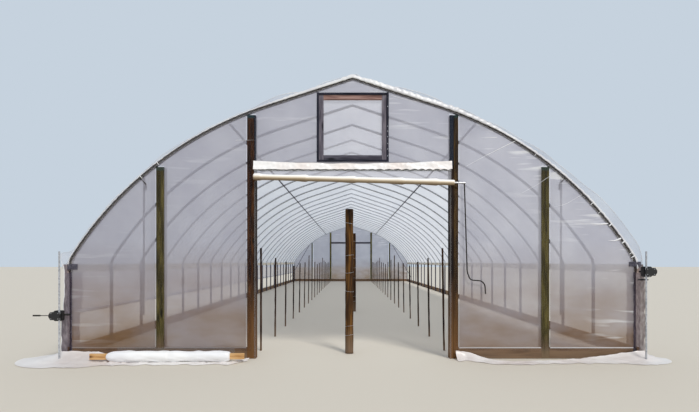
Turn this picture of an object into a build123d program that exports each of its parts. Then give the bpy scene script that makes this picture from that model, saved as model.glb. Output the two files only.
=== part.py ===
from build123d import *
import os
from math import acos, asin, atan2, cos, degrees, hypot, radians, sin, tan

# Polytunnel greenhouse with bent steel bows, timber end walls and film covers.
# Millimetres, +Z up. The front wall faces -Y, and the ground is Z = 0.

# The tunnel's plan and section
WIDTH = 9144.0  # between the leg centres, thirty feet
BAY = 1219.2  # bow spacing, four feet
BAYS = 24
RIDGE = 4535.0  # the bow's centre line at the ridge
LEG_TOP = 1500.0  # where the straight leg ends and the hip bend starts
HIP_RADIUS = 300.0
HIP_SLOPE = 57.5  # degrees, where the hip bend runs into the roof arc
RAFTER_REACH = 1400.0  # how far the straight rafter reaches out from the ridge
FRONT_REACH = 460.0  # how far the plan reaches in front of the front bow

# Tubes
BOW_TUBE = 48.3
GROUND_TUBE = 60.3
GROUND_POST_HEIGHT = 1400.0
LEG_SOCKET = 300.0  # how deep a bow's leg stands in its ground post
PURLIN_TUBE = 38.0
PURLIN_AT = 2010.0  # distance from the middle, measured on the bow
BRACE_TUBE = 33.7
BRACE_TOP_AT = 3410.0  # distance from the middle where a brace meets the end bow
BRACE_FOOT_HEIGHT = 450.0
BRACE_BAYS = 2
BRACE_END = 40.0  # how far a brace runs past the post at its foot

# Timber
BOARD = 38.0  # thickness of every board
HIP_BOARD_HEIGHT = 140.0
HIP_BOARD_TOP = 1525.0
BASEBOARD_HEIGHT = 184.0
DOOR_POST = 140.0
DOOR_WIDTH = 3144.0
DOOR_HEIGHT = 3048.0
HEADER_HEIGHT = 135.0
SIDE_POST = 127.0
SIDE_POST_AT = 3121.0
VENT_WIDTH = 1172.0
VENT_GAP = 8.0  # between its top corners and the end bow
VENT_SURROUND_DEPTH = 89.0
VENT_SURROUND = 38.0
VENT_SASH = 75.0
VENT_SASH_THICKNESS = 38.0
VENT_SASH_RECESS = 12.0

# Covers and their fastening
FILM = 3.0
CHANNEL_WIDTH = 36.0
CHANNEL_DEPTH = 13.0
CURTAIN_ROLL = 60.0
ROLL_CORE = 42.0
CORE_REACH = 125.0  # how far a roll's core stands out in front of the end wall
LEFT_CURTAIN = 810.0  # how far the curtain hangs down to its roll
RIGHT_CURTAIN = 115.0
CORNER_STRIP = 450.0
STRIP_LAP = 20.0  # how far the corner strip laps over the end film
FILM_HEM = 130.0  # height of the end film's lower edge
DOOR_BAND_LAP = 23.0  # how far the door's film reaches past each side of the doorway
DOOR_BAND_OVERLAP = 44.0  # and up the header
DOOR_ROLL = 105.0
DOOR_ROLL_LEFT = (21.0, 116.0)  # its left end: past the doorway's side, and below its top
DOOR_ROLL_RIGHT = (62.0, 209.0)
DOOR_ROD = 27.0
DOOR_ROD_REACH = 180.0
DOOR_CRANK_TUBE = 20.0
DOOR_CRANK_BEND = 40.0
DOOR_CRANK_ROUTE = [(45.0, 1420.0), (95.0, 1545.0), (275.0, 1560.0), (330.0, 1620.0), (340.0, 1770.0)]

# Hand cranks of the side curtains, seen from the front
GEARBOX_WIDTH = 130.0
GEARBOX_HEIGHT = 165.0
GEARBOX_DEPTH = 70.0
GEARBOX_INSIDE = 93.0  # how far it reaches from the roll towards the middle
GEARBOX_CORNER = 24.0
GEAR_COVER = 120.0
GEAR_COVER_AT = 80.0  # its middle, out from the case's middle
GEAR_COVER_RISE = 14.0
GUIDE_POLE = 27.0
GUIDE_POLE_INSIDE = 66.0  # how far the pole stands from the roll towards the middle
GUIDE_POLE_HEIGHT = 1730.0
COLLAR = 44.0
COLLAR_HEIGHT = 60.0
COLLAR_INSET = 2.0  # how far the collar reaches into the gearbox
HANDLE_ROD = 12.0
HANDLE_REACH = 160.0
GRIP = 26.0
GRIP_LENGTH = 112.0
FOLDED_HANDLE = [(-40.0, -87.0), (75.0, -4.0)]  # the right handle's ends, out from its roll and up

# The loose tail of the front film, rolled round a batten on the ground
TAIL_ROLL = 196.0
TAIL_ROLL_ENDS = (-3810.0, -1910.0)
TAIL_BATTEN_ENDS = (-4070.0, -1690.0)
TAIL_BATTEN = (38.0, 89.0)
TAIL_AT = -335.0  # in front of the front bow
TAIL_TURN = 0.9  # degrees, the left end lies nearer the front
APRON_LAP = 50.0  # how far its film laps over the front film

# Inside
POLE = 147.0
POLE_HEIGHT = 2470.0
POLES = [(-56.0, 410.0), (67.0, 6970.0)]  # from the middle, and behind the front bow
STAKE = 38.0
STAKE_ROW_AT = 1620.0
STAKE_FIRST = 640.0
STAKE_SPACING = 1500.0
STAKE_END_GAP = 1000.0  # at least this between the last stake and the rear bow
STAKE_HEIGHTS = [1810.0, 1650.0, 1570.0, 1465.0, 1525.0, 1550.0]

# Facets: the inner bows and posts repeat, so they get fewer than the ones at the ends
BOW_CHORDS = 5  # straight chords along the roof arc
HIP_CHORDS = 2
TUBE_SIDES = 6
END_BOW_CHORDS = 12
END_HIP_CHORDS = 3
END_TUBE_SIDES = 16
ROD_SIDES = 8
TAIL_ROLL_SIDES = 24
CORNER_CHORDS = 4  # in each rounded corner of a crank housing

CLEAR = 0.3  # between pieces that lie against each other



def rafter_slope():
    """The slope at which the rafters run on from the roof arc and meet at the ridge's height."""
    low, high = 0.0, radians(HIP_SLOPE)
    for _ in range(50):
        slope = (low + high) / 2
        arc_rise = (BEND_X - RAFTER_REACH) * tan((radians(HIP_SLOPE) + slope) / 2)
        if BEND_Z + arc_rise + RAFTER_REACH * tan(slope) < RIDGE:
            low = slope
        else:
            high = slope
    return slope


# Worked out from the sizes above
HALF = WIDTH / 2
LENGTH = BAY * BAYS
FRONT = FRONT_REACH / 2 - LENGTH / 2
REAR = FRONT + LENGTH
BOW_R = BOW_TUBE / 2
GROUND_R = GROUND_TUBE / 2
S0, C0 = sin(radians(HIP_SLOPE)), cos(radians(HIP_SLOPE))
BEND_X = HALF - HIP_RADIUS * (1 - S0)
BEND_Z = LEG_TOP + HIP_RADIUS * C0
RIDGE_SLOPE = degrees(rafter_slope())
S1, C1 = sin(radians(RIDGE_SLOPE)), cos(radians(RIDGE_SLOPE))
ROOF_RADIUS = (BEND_X - RAFTER_REACH) / (S0 - S1)
ARC_X = BEND_X - ROOF_RADIUS * S0
ARC_Z = BEND_Z - ROOF_RADIUS * C0
FACE = BOW_R + CLEAR + CHANNEL_DEPTH  # from a bow's centre to the end wall's face
BOARD_X = HALF + GROUND_R + CLEAR  # inner face of the boards along the sides
EAVE_X = BOARD_X + BOARD + CLEAR
EAVE_Z = HIP_BOARD_TOP + CLEAR
LEFT_ROLL_HEIGHT = HIP_BOARD_TOP - LEFT_CURTAIN
RIGHT_ROLL_HEIGHT = HIP_BOARD_TOP - RIGHT_CURTAIN
CURTAIN_X = EAVE_X + FILM + CLEAR
ROLL_X = CURTAIN_X + FILM + CLEAR + CURTAIN_ROLL / 2
STRIP_X = ROLL_X + CURTAIN_ROLL / 2 + CLEAR
STAKES = 1 + int((LENGTH - STAKE_FIRST - STAKE_END_GAP) / STAKE_SPACING)


def block(x0, x1, y0, y1, z0, z1):
    """A board or post between two corners."""
    return Pos((x0 + x1) / 2, (y0 + y1) / 2, (z0 + z1) / 2) * Box(x1 - x0, y1 - y0, z1 - z0)


def at_front(piece):
    return Pos(0, FRONT, 0) * piece


def at_rear(piece):
    return Pos(0, REAR, 0) * Rot(0, 0, 180) * piece


def mirrored(piece):
    return mirror(piece, about=Plane.YZ)


def group(pieces):
    return Compound(children=[s for p in pieces for s in p.solids()])


def save(shape, name):
    export_step(shape, f"parts/{name}.step")


def half_chain(offset, foot):
    """A half bow's centre line, moved outwards by offset, from its foot up to the ridge."""
    leg = Line((HALF + offset, foot), (HALF + offset, LEG_TOP))
    bend = JernArc(leg @ 1, (0, 1), HIP_RADIUS + offset, 90 - HIP_SLOPE)
    roof = JernArc(bend @ 1, bend % 1, ROOF_RADIUS + offset, HIP_SLOPE - RIDGE_SLOPE)
    rafter = Line(roof @ 1, (0, RIDGE + offset / C1))
    return [leg, bend, roof, rafter]


def film_chain(offset):
    """The roof film's line: up the hip board, straight to the bow, then over it to the ridge."""
    seat = BOW_R + CLEAR
    reach = hypot(EAVE_X - ARC_X, EAVE_Z - ARC_Z)
    slope = atan2(EAVE_X - ARC_X, EAVE_Z - ARC_Z) - acos((ROOF_RADIUS + seat) / reach)
    radius = ROOF_RADIUS + seat + offset
    eave = (EAVE_X + offset, EAVE_Z + offset * cos(slope) / (1 + sin(slope)))
    lift = (ARC_X + radius * sin(slope), ARC_Z + radius * cos(slope))
    hem = Line((EAVE_X + offset, HIP_BOARD_TOP - HIP_BOARD_HEIGHT), eave)
    stretch = Line(eave, lift)
    roof = JernArc(lift, (-cos(slope), sin(slope)), radius, degrees(slope) - RIDGE_SLOPE)
    rafter = Line(roof @ 1, (0, RIDGE + (seat + offset) / C1))
    return [hem, stretch, roof, rafter]


def strip_face(outer, inner):
    """The face between two half chains, with its mirror image, standing in the X-Z plane."""
    ends = [Line(outer[0] @ 0, inner[0] @ 0), Line(outer[-1] @ 1, inner[-1] @ 1)]
    half = make_face(Wire(outer + inner + ends))
    return Plane.XZ * (half + mirror(half, about=Plane.YZ))


def under_bow(offset, foot):
    """The face of an end wall under a bow's line moved outwards by offset."""
    chain = half_chain(offset, foot)
    ends = [Line(chain[0] @ 0, (0, foot)), Line(chain[-1] @ 1, (0, foot))]
    half = make_face(Wire(chain + ends))
    return Plane.XZ * (half + mirror(half, about=Plane.YZ))


def end_bow_height(x, offset):
    """Height of an end bow's chords, moved outwards by offset, at x from the middle."""
    step = radians(HIP_SLOPE - RIDGE_SLOPE) / END_BOW_CHORDS
    distance = ROOF_RADIUS * cos(step / 2) + offset
    slopes = [radians(RIDGE_SLOPE) + (i + 0.5) * step for i in range(END_BOW_CHORDS)]
    roof = [ARC_Z + (distance - (x - ARC_X) * sin(s)) / cos(s) for s in slopes]
    return min(RIDGE + offset / C1 - x * S1 / C1, *roof)


def tube_section(diameter, sides):
    return RegularPolygon(diameter / 2, sides)


def bow_path(foot, roof_chords, hip_chords):
    """A bow's centre line from foot to foot, with its bends divided into straight chords."""
    leg, bend, roof, rafter = half_chain(0, foot)
    hip_points = [bend @ (i / hip_chords) for i in range(1, hip_chords + 1)]
    roof_points = [roof @ (i / roof_chords) for i in range(1, roof_chords + 1)]
    right = [leg @ 0, leg @ 1, *hip_points, *roof_points]
    left = [Vector(-p.X, p.Y) for p in reversed(right)]
    return Plane.XZ * Wire(Polyline(*right, rafter @ 1, *left))


def bow(roof_chords, hip_chords, sides):
    foot = GROUND_POST_HEIGHT - LEG_SOCKET
    section = Pos(HALF, 0, foot) * tube_section(BOW_TUBE, sides)
    path = bow_path(foot, roof_chords, hip_chords)
    return sweep(section, path=path, transition=Transition.RIGHT)


def ground_post(sides, leg_sides):
    bore = tube_section(BOW_TUBE + 2 * CLEAR, leg_sides)
    ring = tube_section(GROUND_TUBE, sides) - bore
    return Pos(HALF, 0, 0) * extrude(ring, GROUND_POST_HEIGHT)


def bows():
    end = bow(END_BOW_CHORDS, END_HIP_CHORDS, END_TUBE_SIDES)
    light = bow(BOW_CHORDS, HIP_CHORDS, TUBE_SIDES)
    inner = [Pos(0, FRONT + BAY * i, 0) * light for i in range(1, BAYS)]
    third = BAYS // 3
    save(at_front(end), "front_bow")
    save(group(inner[:third]), "bows_near")
    save(group(inner[third : 2 * third]), "bows_middle")
    save(group(inner[2 * third :]), "bows_far")
    save(Pos(0, REAR, 0) * end, "rear_bow")


def ground_posts():
    """One post under each bow's leg; those that carry an end bow or a brace are rounder."""
    posts = [ground_post(TUBE_SIDES, TUBE_SIDES)] * (BAYS + 1)
    for i in (0, BAYS):
        posts[i] = ground_post(END_TUBE_SIDES, END_TUBE_SIDES)
    for i in (BRACE_BAYS, BAYS - BRACE_BAYS):
        posts[i] = ground_post(END_TUBE_SIDES, TUBE_SIDES)
    right = group([Pos(0, FRONT + BAY * i, 0) * post for i, post in enumerate(posts)])
    save(right, "ground_posts_right")
    save(mirrored(right), "ground_posts_left")


def chord_radius(angle, chords):
    """Distance from the roof arc's centre to a bow's chord, at an angle from upright."""
    step = (HIP_SLOPE - RIDGE_SLOPE) / chords
    off_middle = (HIP_SLOPE - degrees(angle)) % step - step / 2
    return ROOF_RADIUS * cos(radians(step / 2)) / cos(radians(off_middle))


def purlins():
    """A tube along each side, on the underside of the bows."""
    angle = asin((PURLIN_AT - ARC_X) / ROOF_RADIUS)
    lowest = min(chord_radius(angle, chords) for chords in (BOW_CHORDS, END_BOW_CHORDS))
    distance = lowest - BOW_R - CLEAR - PURLIN_TUBE / 2
    x = ARC_X + distance * sin(angle)
    z = ARC_Z + distance * cos(angle)
    section = Plane.XZ * tube_section(PURLIN_TUBE, END_TUBE_SIDES)
    right = Pos(x, FRONT - BOW_R, z) * extrude(section, -(LENGTH + BOW_TUBE))
    save(group([right, mirrored(right)]), "purlins")


def brace_seat(point, tube_run, run, distance):
    """Centre of a brace where it lies on the inner side of a tube, square to both of them."""
    side = tube_run.cross(run).normalized()
    return point + side * (distance if side.X < 0 else -distance)


def wind_brace():
    """A straight brace from the end bow back and down to a later bow's ground post."""
    slope = asin((BRACE_TOP_AT - ARC_X) / ROOF_RADIUS)
    bow_run = Vector(-cos(slope), 0, sin(slope))
    on_bow = Vector(BRACE_TOP_AT, 0, end_bow_height(BRACE_TOP_AT, 0))
    on_post = Vector(HALF, BRACE_BAYS * BAY, BRACE_FOOT_HEIGHT)
    top, foot = on_bow, on_post
    for _ in range(4):
        run = foot - top
        top = brace_seat(on_bow, bow_run, run, BOW_R + CLEAR + BRACE_TUBE / 2)
        foot = brace_seat(on_post, Vector(0, 0, 1), run, GROUND_R + CLEAR + BRACE_TUBE / 2)
    along = run.normalized()
    length = (foot - top).length + BRACE_END
    section = tube_section(BRACE_TUBE, END_TUBE_SIDES)
    return extrude(Plane(origin=top, z_dir=along) * section, length)


def wind_braces():
    brace = wind_brace()
    pair = [brace, mirrored(brace)]
    save(group([*map(at_front, pair), *map(at_rear, pair)]), "wind_braces")


def side_boards():
    y0, y1 = FRONT - FACE, REAR + FACE
    low = HIP_BOARD_TOP - HIP_BOARD_HEIGHT
    hip = block(BOARD_X, BOARD_X + BOARD, y0, y1, low, HIP_BOARD_TOP)
    base = block(BOARD_X, BOARD_X + BOARD, y0, y1, 0, BASEBOARD_HEIGHT)
    save(hip, "hip_board_right")
    save(mirrored(hip), "hip_board_left")
    save(base, "baseboard_right")
    save(mirrored(base), "baseboard_left")


def lock_channels():
    """The channel that holds each end film runs along the outer side of the end bow."""
    foot = GROUND_POST_HEIGHT + CLEAR
    section = Pos(HALF, 0, foot) * Rectangle(CHANNEL_WIDTH, CHANNEL_DEPTH)
    path = bow_path(foot, END_BOW_CHORDS, END_HIP_CHORDS)
    channel = sweep(section, path=path, transition=Transition.RIGHT)
    channel = Pos(0, CHANNEL_DEPTH / 2 - FACE, 0) * channel
    save(at_front(channel), "front_lock_channel")
    save(at_rear(channel), "rear_lock_channel")


def roof_film():
    reach = LENGTH + 2 * (FACE + CLEAR + FILM)
    sheet = extrude(strip_face(film_chain(FILM), film_chain(0)), -reach)
    save(Pos(0, FRONT - FACE - CLEAR - FILM, 0) * sheet, "roof_film")


def end_film(foot):
    sheet = extrude(under_bow(BOW_R, foot), -FILM)
    return Pos(0, -FACE - CLEAR - FILM, 0) * sheet


def vent_box():
    half = VENT_WIDTH / 2
    low = DOOR_HEIGHT + HEADER_HEIGHT + CLEAR
    return half, low, end_bow_height(half, -BOW_R) - VENT_GAP


def front_films():
    half, low, high = vent_box()
    wide, deep = HALF + BOW_TUBE, FACE + BOW_TUBE
    split_x = (DOOR_WIDTH + DOOR_POST) / 2
    sheet = end_film(FILM_HEM)
    side = sheet & block(split_x, wide, -deep, 0, 0, RIDGE)
    above = sheet & block(-split_x, split_x, -deep, 0, DOOR_HEIGHT + HEADER_HEIGHT / 2, 2 * RIDGE)
    above -= block(-half, half, -deep, 0, low, high)
    save(at_front(side), "front_film_right")
    save(at_front(mirrored(side)), "front_film_left")
    save(at_front(above), "gable_film")


def rear_film():
    save(at_rear(end_film(FILM_HEM)), "rear_film")


def end_posts():
    door_x = DOOR_WIDTH / 2
    door_top = end_bow_height(door_x + DOOR_POST, -BOW_R) - CLEAR
    door = block(door_x, door_x + DOOR_POST, -FACE, DOOR_POST - FACE, 0, door_top)
    side_x = SIDE_POST_AT + SIDE_POST / 2
    side_top = end_bow_height(side_x, -BOW_R) - CLEAR
    side = block(side_x - SIDE_POST, side_x, -FACE, SIDE_POST - FACE, 0, side_top)
    save(at_front(door), "door_post_right")
    save(at_front(mirrored(door)), "door_post_left")
    save(at_front(side), "side_post_right")
    save(at_front(mirrored(side)), "side_post_left")
    save(group([at_rear(door), at_rear(mirrored(door))]), "rear_door_posts")
    save(group([at_rear(side), at_rear(mirrored(side))]), "rear_side_posts")


def headers():
    half = DOOR_WIDTH / 2
    top = DOOR_HEIGHT + HEADER_HEIGHT
    header = block(-half, half, -FACE, BOARD - FACE, DOOR_HEIGHT, top)
    save(at_front(header), "door_header")
    save(at_rear(header), "rear_header")


def end_baseboards():
    """Two boards each side of the doorway: corner to side post, and side post to door post."""
    inner = SIDE_POST_AT - SIDE_POST / 2
    spans = [
        (DOOR_WIDTH / 2 + DOOR_POST, inner),
        (inner + SIDE_POST, HALF - GROUND_R - CLEAR),
    ]
    right = group([block(a, b, -FACE, BOARD - FACE, 0, BASEBOARD_HEIGHT) for a, b in spans])
    middle = block(-DOOR_WIDTH / 2, DOOR_WIDTH / 2, -FACE, BOARD - FACE, 0, BASEBOARD_HEIGHT)
    save(at_front(right), "front_baseboard_right")
    save(at_front(mirrored(right)), "front_baseboard_left")
    save(at_rear(group([right, mirrored(right), middle])), "rear_baseboards")


def gable_vent():
    half, low, high = vent_box()
    inner = half - VENT_SURROUND
    y1 = VENT_SURROUND_DEPTH - FACE
    ring = block(-half, half, -FACE, y1, low, high)
    ring -= block(-inner, inner, -FACE, y1, low + VENT_SURROUND, high - VENT_SURROUND)
    edge = inner - CLEAR
    y0 = VENT_SASH_RECESS - FACE
    back = y0 + VENT_SASH_THICKNESS
    bottom, top = low + VENT_SURROUND + CLEAR, high - VENT_SURROUND - CLEAR
    sash = block(-edge, edge, y0, back, bottom, top)
    glass = edge - VENT_SASH
    sash -= block(-glass, glass, y0, back, bottom + VENT_SASH, top - VENT_SASH)
    lap = VENT_SASH / 2
    pane_x = glass + lap
    pane_low, pane_high = bottom + VENT_SASH - lap, top - VENT_SASH + lap
    pane = block(-pane_x, pane_x, back + CLEAR, back + CLEAR + FILM, pane_low, pane_high)
    save(at_front(ring), "vent_surround")
    save(at_front(sash), "vent_sash")
    save(at_front(pane), "vent_pane")


def door_roll_ends():
    left = Vector(-DOOR_WIDTH / 2 - DOOR_ROLL_LEFT[0], 0, DOOR_HEIGHT - DOOR_ROLL_LEFT[1])
    right = Vector(DOOR_WIDTH / 2 + DOOR_ROLL_RIGHT[0], 0, DOOR_HEIGHT - DOOR_ROLL_RIGHT[1])
    return left, right


def door_roll_height(x):
    left, right = door_roll_ends()
    return left.Z + (right.Z - left.Z) * (x - left.X) / (right.X - left.X)


def roll_up_door():
    """The door film is rolled up under the header, with its rod and hand crank on the right."""
    band_y = FACE + CLEAR
    half = DOOR_WIDTH / 2 + DOOR_BAND_LAP
    top = DOOR_HEIGHT + DOOR_BAND_OVERLAP
    outline = Polyline(
        (-half, top),
        (half, top),
        (half, door_roll_height(half)),
        (-half, door_roll_height(-half)),
        close=True,
    )
    band = Pos(0, -band_y - FILM, 0) * extrude(Plane.XZ * make_face(outline), -FILM)
    face_y = -band_y - FILM - CLEAR
    high = top - CHANNEL_WIDTH / 2
    channel = block(-half, half, face_y - CHANNEL_DEPTH, face_y, high - CHANNEL_WIDTH, high)
    forward = Vector(0, face_y - DOOR_ROLL / 2, 0)
    left, right = (end + forward for end in door_roll_ends())
    along = (right - left).normalized()
    roll_section = tube_section(DOOR_ROLL, END_TUBE_SIDES)
    roll = extrude(Plane(origin=left, z_dir=along) * roll_section, (right - left).length)
    rod_section = tube_section(DOOR_ROD, END_TUBE_SIDES)
    rod = extrude(Plane(origin=right, z_dir=along) * rod_section, DOOR_ROD_REACH)
    save(at_front(band), "door_curtain")
    save(at_front(channel), "door_curtain_channel")
    save(at_front(roll), "door_curtain_roll")
    save(at_front(rod), "door_curtain_rod")
    end = right + along * (DOOR_ROD_REACH - DOOR_CRANK_TUBE)
    low_side = door_roll_height(end.X + DOOR_CRANK_TUBE / 2) - DOOR_ROD / 2 / along.X
    start = Vector(end.X, end.Y, low_side - CLEAR)
    points = [start, *(start + Vector(out, 0, -down) for out, down in DOOR_CRANK_ROUTE)]
    path = FilletPolyline(*points, radius=DOOR_CRANK_BEND)
    section = Plane(origin=start, z_dir=path % 0) * tube_section(DOOR_CRANK_TUBE, ROD_SIDES)
    save(at_front(sweep(section, path=path)), "door_crank")


def side_curtain(roll_height):
    """A side curtain on the right: its film from the hip board to the roll on its core tube."""
    y0, y1 = FRONT - FACE, REAR + FACE
    film = block(CURTAIN_X, CURTAIN_X + FILM, y0, y1, roll_height, HIP_BOARD_TOP)
    roll = extrude(Plane.XZ * tube_section(CURTAIN_ROLL, END_TUBE_SIDES), -(y1 - y0))
    roll = Pos(ROLL_X, y0, roll_height) * roll
    core = extrude(Plane.XZ * tube_section(ROLL_CORE, END_TUBE_SIDES), -CORE_REACH)
    core = Pos(ROLL_X, y0 - CORE_REACH, roll_height) * core
    return film, roll, core


def side_curtains():
    """The right curtain is rolled up to the hip board, and the left one is half way down."""
    right = side_curtain(RIGHT_ROLL_HEIGHT)
    left = [mirrored(piece) for piece in side_curtain(LEFT_ROLL_HEIGHT)]
    for side, (film, roll, core) in (("right", right), ("left", left)):
        save(film, f"side_curtain_{side}")
        save(roll, f"curtain_roll_{side}")
    save(group([right[2], left[2]]), "roll_cores")


def hip_channels():
    x = CURTAIN_X + FILM + CLEAR
    top = HIP_BOARD_TOP - CLEAR
    strip = block(x, x + CHANNEL_DEPTH, FRONT - FACE, REAR + FACE, top - CHANNEL_WIDTH, top)
    save(group([strip, mirrored(strip)]), "hip_channels")


def corner_strip(roll_height):
    """Film fixed round a front corner, outside the curtain's roll, with a slit for its core."""
    y0 = -FACE - 2 * (CLEAR + FILM)
    low, high = CLEAR, HIP_BOARD_TOP
    outer = block(STRIP_X, STRIP_X + FILM, y0, CORNER_STRIP, low, high)
    front_x = HALF - STRIP_LAP
    front = block(front_x, STRIP_X + FILM, y0, y0 + FILM, low, high)
    slit = CURTAIN_ROLL / 2 + FILM
    front -= block(CURTAIN_X, STRIP_X, y0, y0 + FILM, roll_height - slit, roll_height + slit)
    return outer + front


def corner_strips():
    save(at_front(corner_strip(RIGHT_ROLL_HEIGHT)), "corner_strip_right")
    save(at_front(mirrored(corner_strip(LEFT_ROLL_HEIGHT))), "corner_strip_left")


def guide_pole_y():
    return -FACE - CORE_REACH - CLEAR - GEARBOX_DEPTH - COLLAR / 2 + COLLAR_INSET


def rounded_plate(width, height, corner):
    """A rectangle whose corners are rounded by a few short chords."""
    points = []
    for quarter, (x, z) in enumerate([(1, 1), (-1, 1), (-1, -1), (1, -1)]):
        for i in range(CORNER_CHORDS + 1):
            turn = radians(90 * (quarter + i / CORNER_CHORDS))
            middle = Vector(x * (width / 2 - corner), z * (height / 2 - corner))
            points.append(middle + Vector(cos(turn), sin(turn)) * corner)
    return make_face(Polyline(*points, close=True))


def gearbox(roll_height):
    """A curtain's crank housing on the right: rounded case, gear cover and sliding collar."""
    back = -FACE - CORE_REACH - CLEAR
    x = ROLL_X - GEARBOX_INSIDE + GEARBOX_WIDTH / 2
    case = Plane.XZ * rounded_plate(GEARBOX_WIDTH, GEARBOX_HEIGHT, GEARBOX_CORNER)
    case = Pos(x, back, roll_height) * extrude(case, GEARBOX_DEPTH)
    cover = Plane.XZ * tube_section(GEAR_COVER, 2 * END_TUBE_SIDES)
    cover = extrude(cover, GEARBOX_DEPTH + GEAR_COVER_RISE)
    case += Pos(x + GEAR_COVER_AT, back, roll_height) * cover
    collar = tube_section(COLLAR, END_TUBE_SIDES)
    bore = tube_section(GUIDE_POLE + 2 * CLEAR, END_TUBE_SIDES)
    on_pole = Pos(ROLL_X - GUIDE_POLE_INSIDE, guide_pole_y(), roll_height)
    case += on_pole * extrude(collar, COLLAR_HEIGHT / 2, both=True)
    return case - on_pole * extrude(bore, GEARBOX_HEIGHT / 2, both=True)


def rod_between(start, end, diameter):
    run = Vector(*end) - Vector(*start)
    section = tube_section(diameter, ROD_SIDES)
    return extrude(Plane(origin=Vector(*start), z_dir=run) * section, run.length)


def side_cranks():
    pole = extrude(tube_section(GUIDE_POLE, END_TUBE_SIDES), GUIDE_POLE_HEIGHT)
    pole = Pos(ROLL_X - GUIDE_POLE_INSIDE, guide_pole_y(), 0) * pole
    save(at_front(group([pole, mirrored(pole)])), "guide_poles")
    save(at_front(gearbox(RIGHT_ROLL_HEIGHT)), "gearbox_right")
    save(at_front(mirrored(gearbox(LEFT_ROLL_HEIGHT))), "gearbox_left")
    y = -FACE - CORE_REACH - CLEAR - GEARBOX_DEPTH / 2
    side = ROLL_X - GEARBOX_INSIDE + GEARBOX_WIDTH / 2 + GEAR_COVER_AT + GEAR_COVER / 2 + CLEAR
    reach, end = side + HANDLE_REACH, side + HANDLE_REACH + GRIP_LENGTH
    z = LEFT_ROLL_HEIGHT
    handle = rod_between((side, y, z), (reach, y, z), HANDLE_ROD)
    handle += rod_between((reach, y, z), (end, y, z), GRIP)
    save(at_front(mirrored(handle)), "crank_handle_left")
    front = y - GEARBOX_DEPTH / 2 - GEAR_COVER_RISE - CLEAR - HANDLE_ROD / 2
    ends = [(ROLL_X + x, front, RIGHT_ROLL_HEIGHT + z) for x, z in FOLDED_HANDLE]
    save(at_front(rod_between(*ends, HANDLE_ROD)), "crank_handle_right")


def film_tail():
    """The rolled tail of the front film, with the ends of its batten standing out."""
    wide, high = TAIL_BATTEN
    place = Pos(0, TAIL_AT, TAIL_ROLL / 2) * Rot(0, 0, TAIL_TURN)
    middle_x = sum(TAIL_ROLL_ENDS) / 2
    batten_x = sum(TAIL_BATTEN_ENDS) / 2
    length = TAIL_ROLL_ENDS[1] - TAIL_ROLL_ENDS[0]
    roll = Rot(0, 90, 0) * extrude(tube_section(TAIL_ROLL, TAIL_ROLL_SIDES), length / 2, both=True)
    batten = Box(TAIL_BATTEN_ENDS[1] - TAIL_BATTEN_ENDS[0], wide, high)
    slot = Box(2 * length, wide + 2 * CLEAR, high + 2 * CLEAR)
    turn = Pos(middle_x, 0, 0) * place * Pos(-middle_x, 0, 0)
    save(at_front(turn * (Pos(middle_x, 0, 0) * (roll - slot))), "tail_film_roll")
    save(at_front(turn * (Pos(batten_x, 0, 0) * batten)), "tail_batten")
    save(at_front(tail_apron(middle_x)), "tail_apron")


def tail_apron(middle_x):
    """Film from the foot of the front wall down and along the ground to the rolled tail."""
    back = -FACE - CLEAR - FILM - CLEAR
    edge = TAIL_ROLL / 2 * sin(acos(1 - (FILM + CLEAR) / (TAIL_ROLL / 2)))
    x0, x1 = TAIL_ROLL_ENDS
    y0, y1 = (
        TAIL_AT + (edge + CLEAR) / cos(radians(TAIL_TURN)) + (x - middle_x) * tan(radians(TAIL_TURN))
        for x in (x0, x1)
    )
    ground = Polyline((x0, back - FILM / 2), (x1, back - FILM / 2), (x1, y1), (x0, y0), close=True)
    upright = block(x0, x1, back - FILM, back, 0, FILM_HEM + APRON_LAP)
    return extrude(make_face(ground), FILM) + upright


def inside_poles():
    pole = extrude(tube_section(POLE, END_TUBE_SIDES), POLE_HEIGHT)
    save(group([Pos(x, FRONT + y, 0) * pole for x, y in POLES]), "trellis_poles")


def crop_stakes():
    stakes = []
    for x in (-STAKE_ROW_AT, STAKE_ROW_AT):
        for i in range(STAKES):
            y = FRONT + STAKE_FIRST + STAKE_SPACING * i
            height = STAKE_HEIGHTS[i % len(STAKE_HEIGHTS)]
            stakes.append(Pos(x, y, height / 2) * Box(STAKE, STAKE, height))
    save(group(stakes), "crop_stakes")


os.makedirs("parts", exist_ok=True)
bows()
ground_posts()
purlins()
wind_braces()
side_boards()
lock_channels()
roof_film()
front_films()
rear_film()
end_posts()
headers()
end_baseboards()
gable_vent()
roll_up_door()
side_curtains()
hip_channels()
corner_strips()
side_cranks()
film_tail()
inside_poles()
crop_stakes()
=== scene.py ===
# %% [markdown]
# # A film-covered polytunnel
# This lesson dresses a CAD model of a thirty foot wide growing tunnel: bent steel bows, timber
# end walls, milky film, roll-up sides and a roll-up door. The CAD gives the true sizes and
# stays where it is. Blender adds what the eye looks for: round tubes, film with folds, wood
# grain, and the springy wire that holds the film. Everything is in metres, +Z up, with the
# front wall facing -Y and the ground at Z = 0.

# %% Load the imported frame
from math import acos, atan2, cos, hypot, pi, radians, sin, tan

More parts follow.
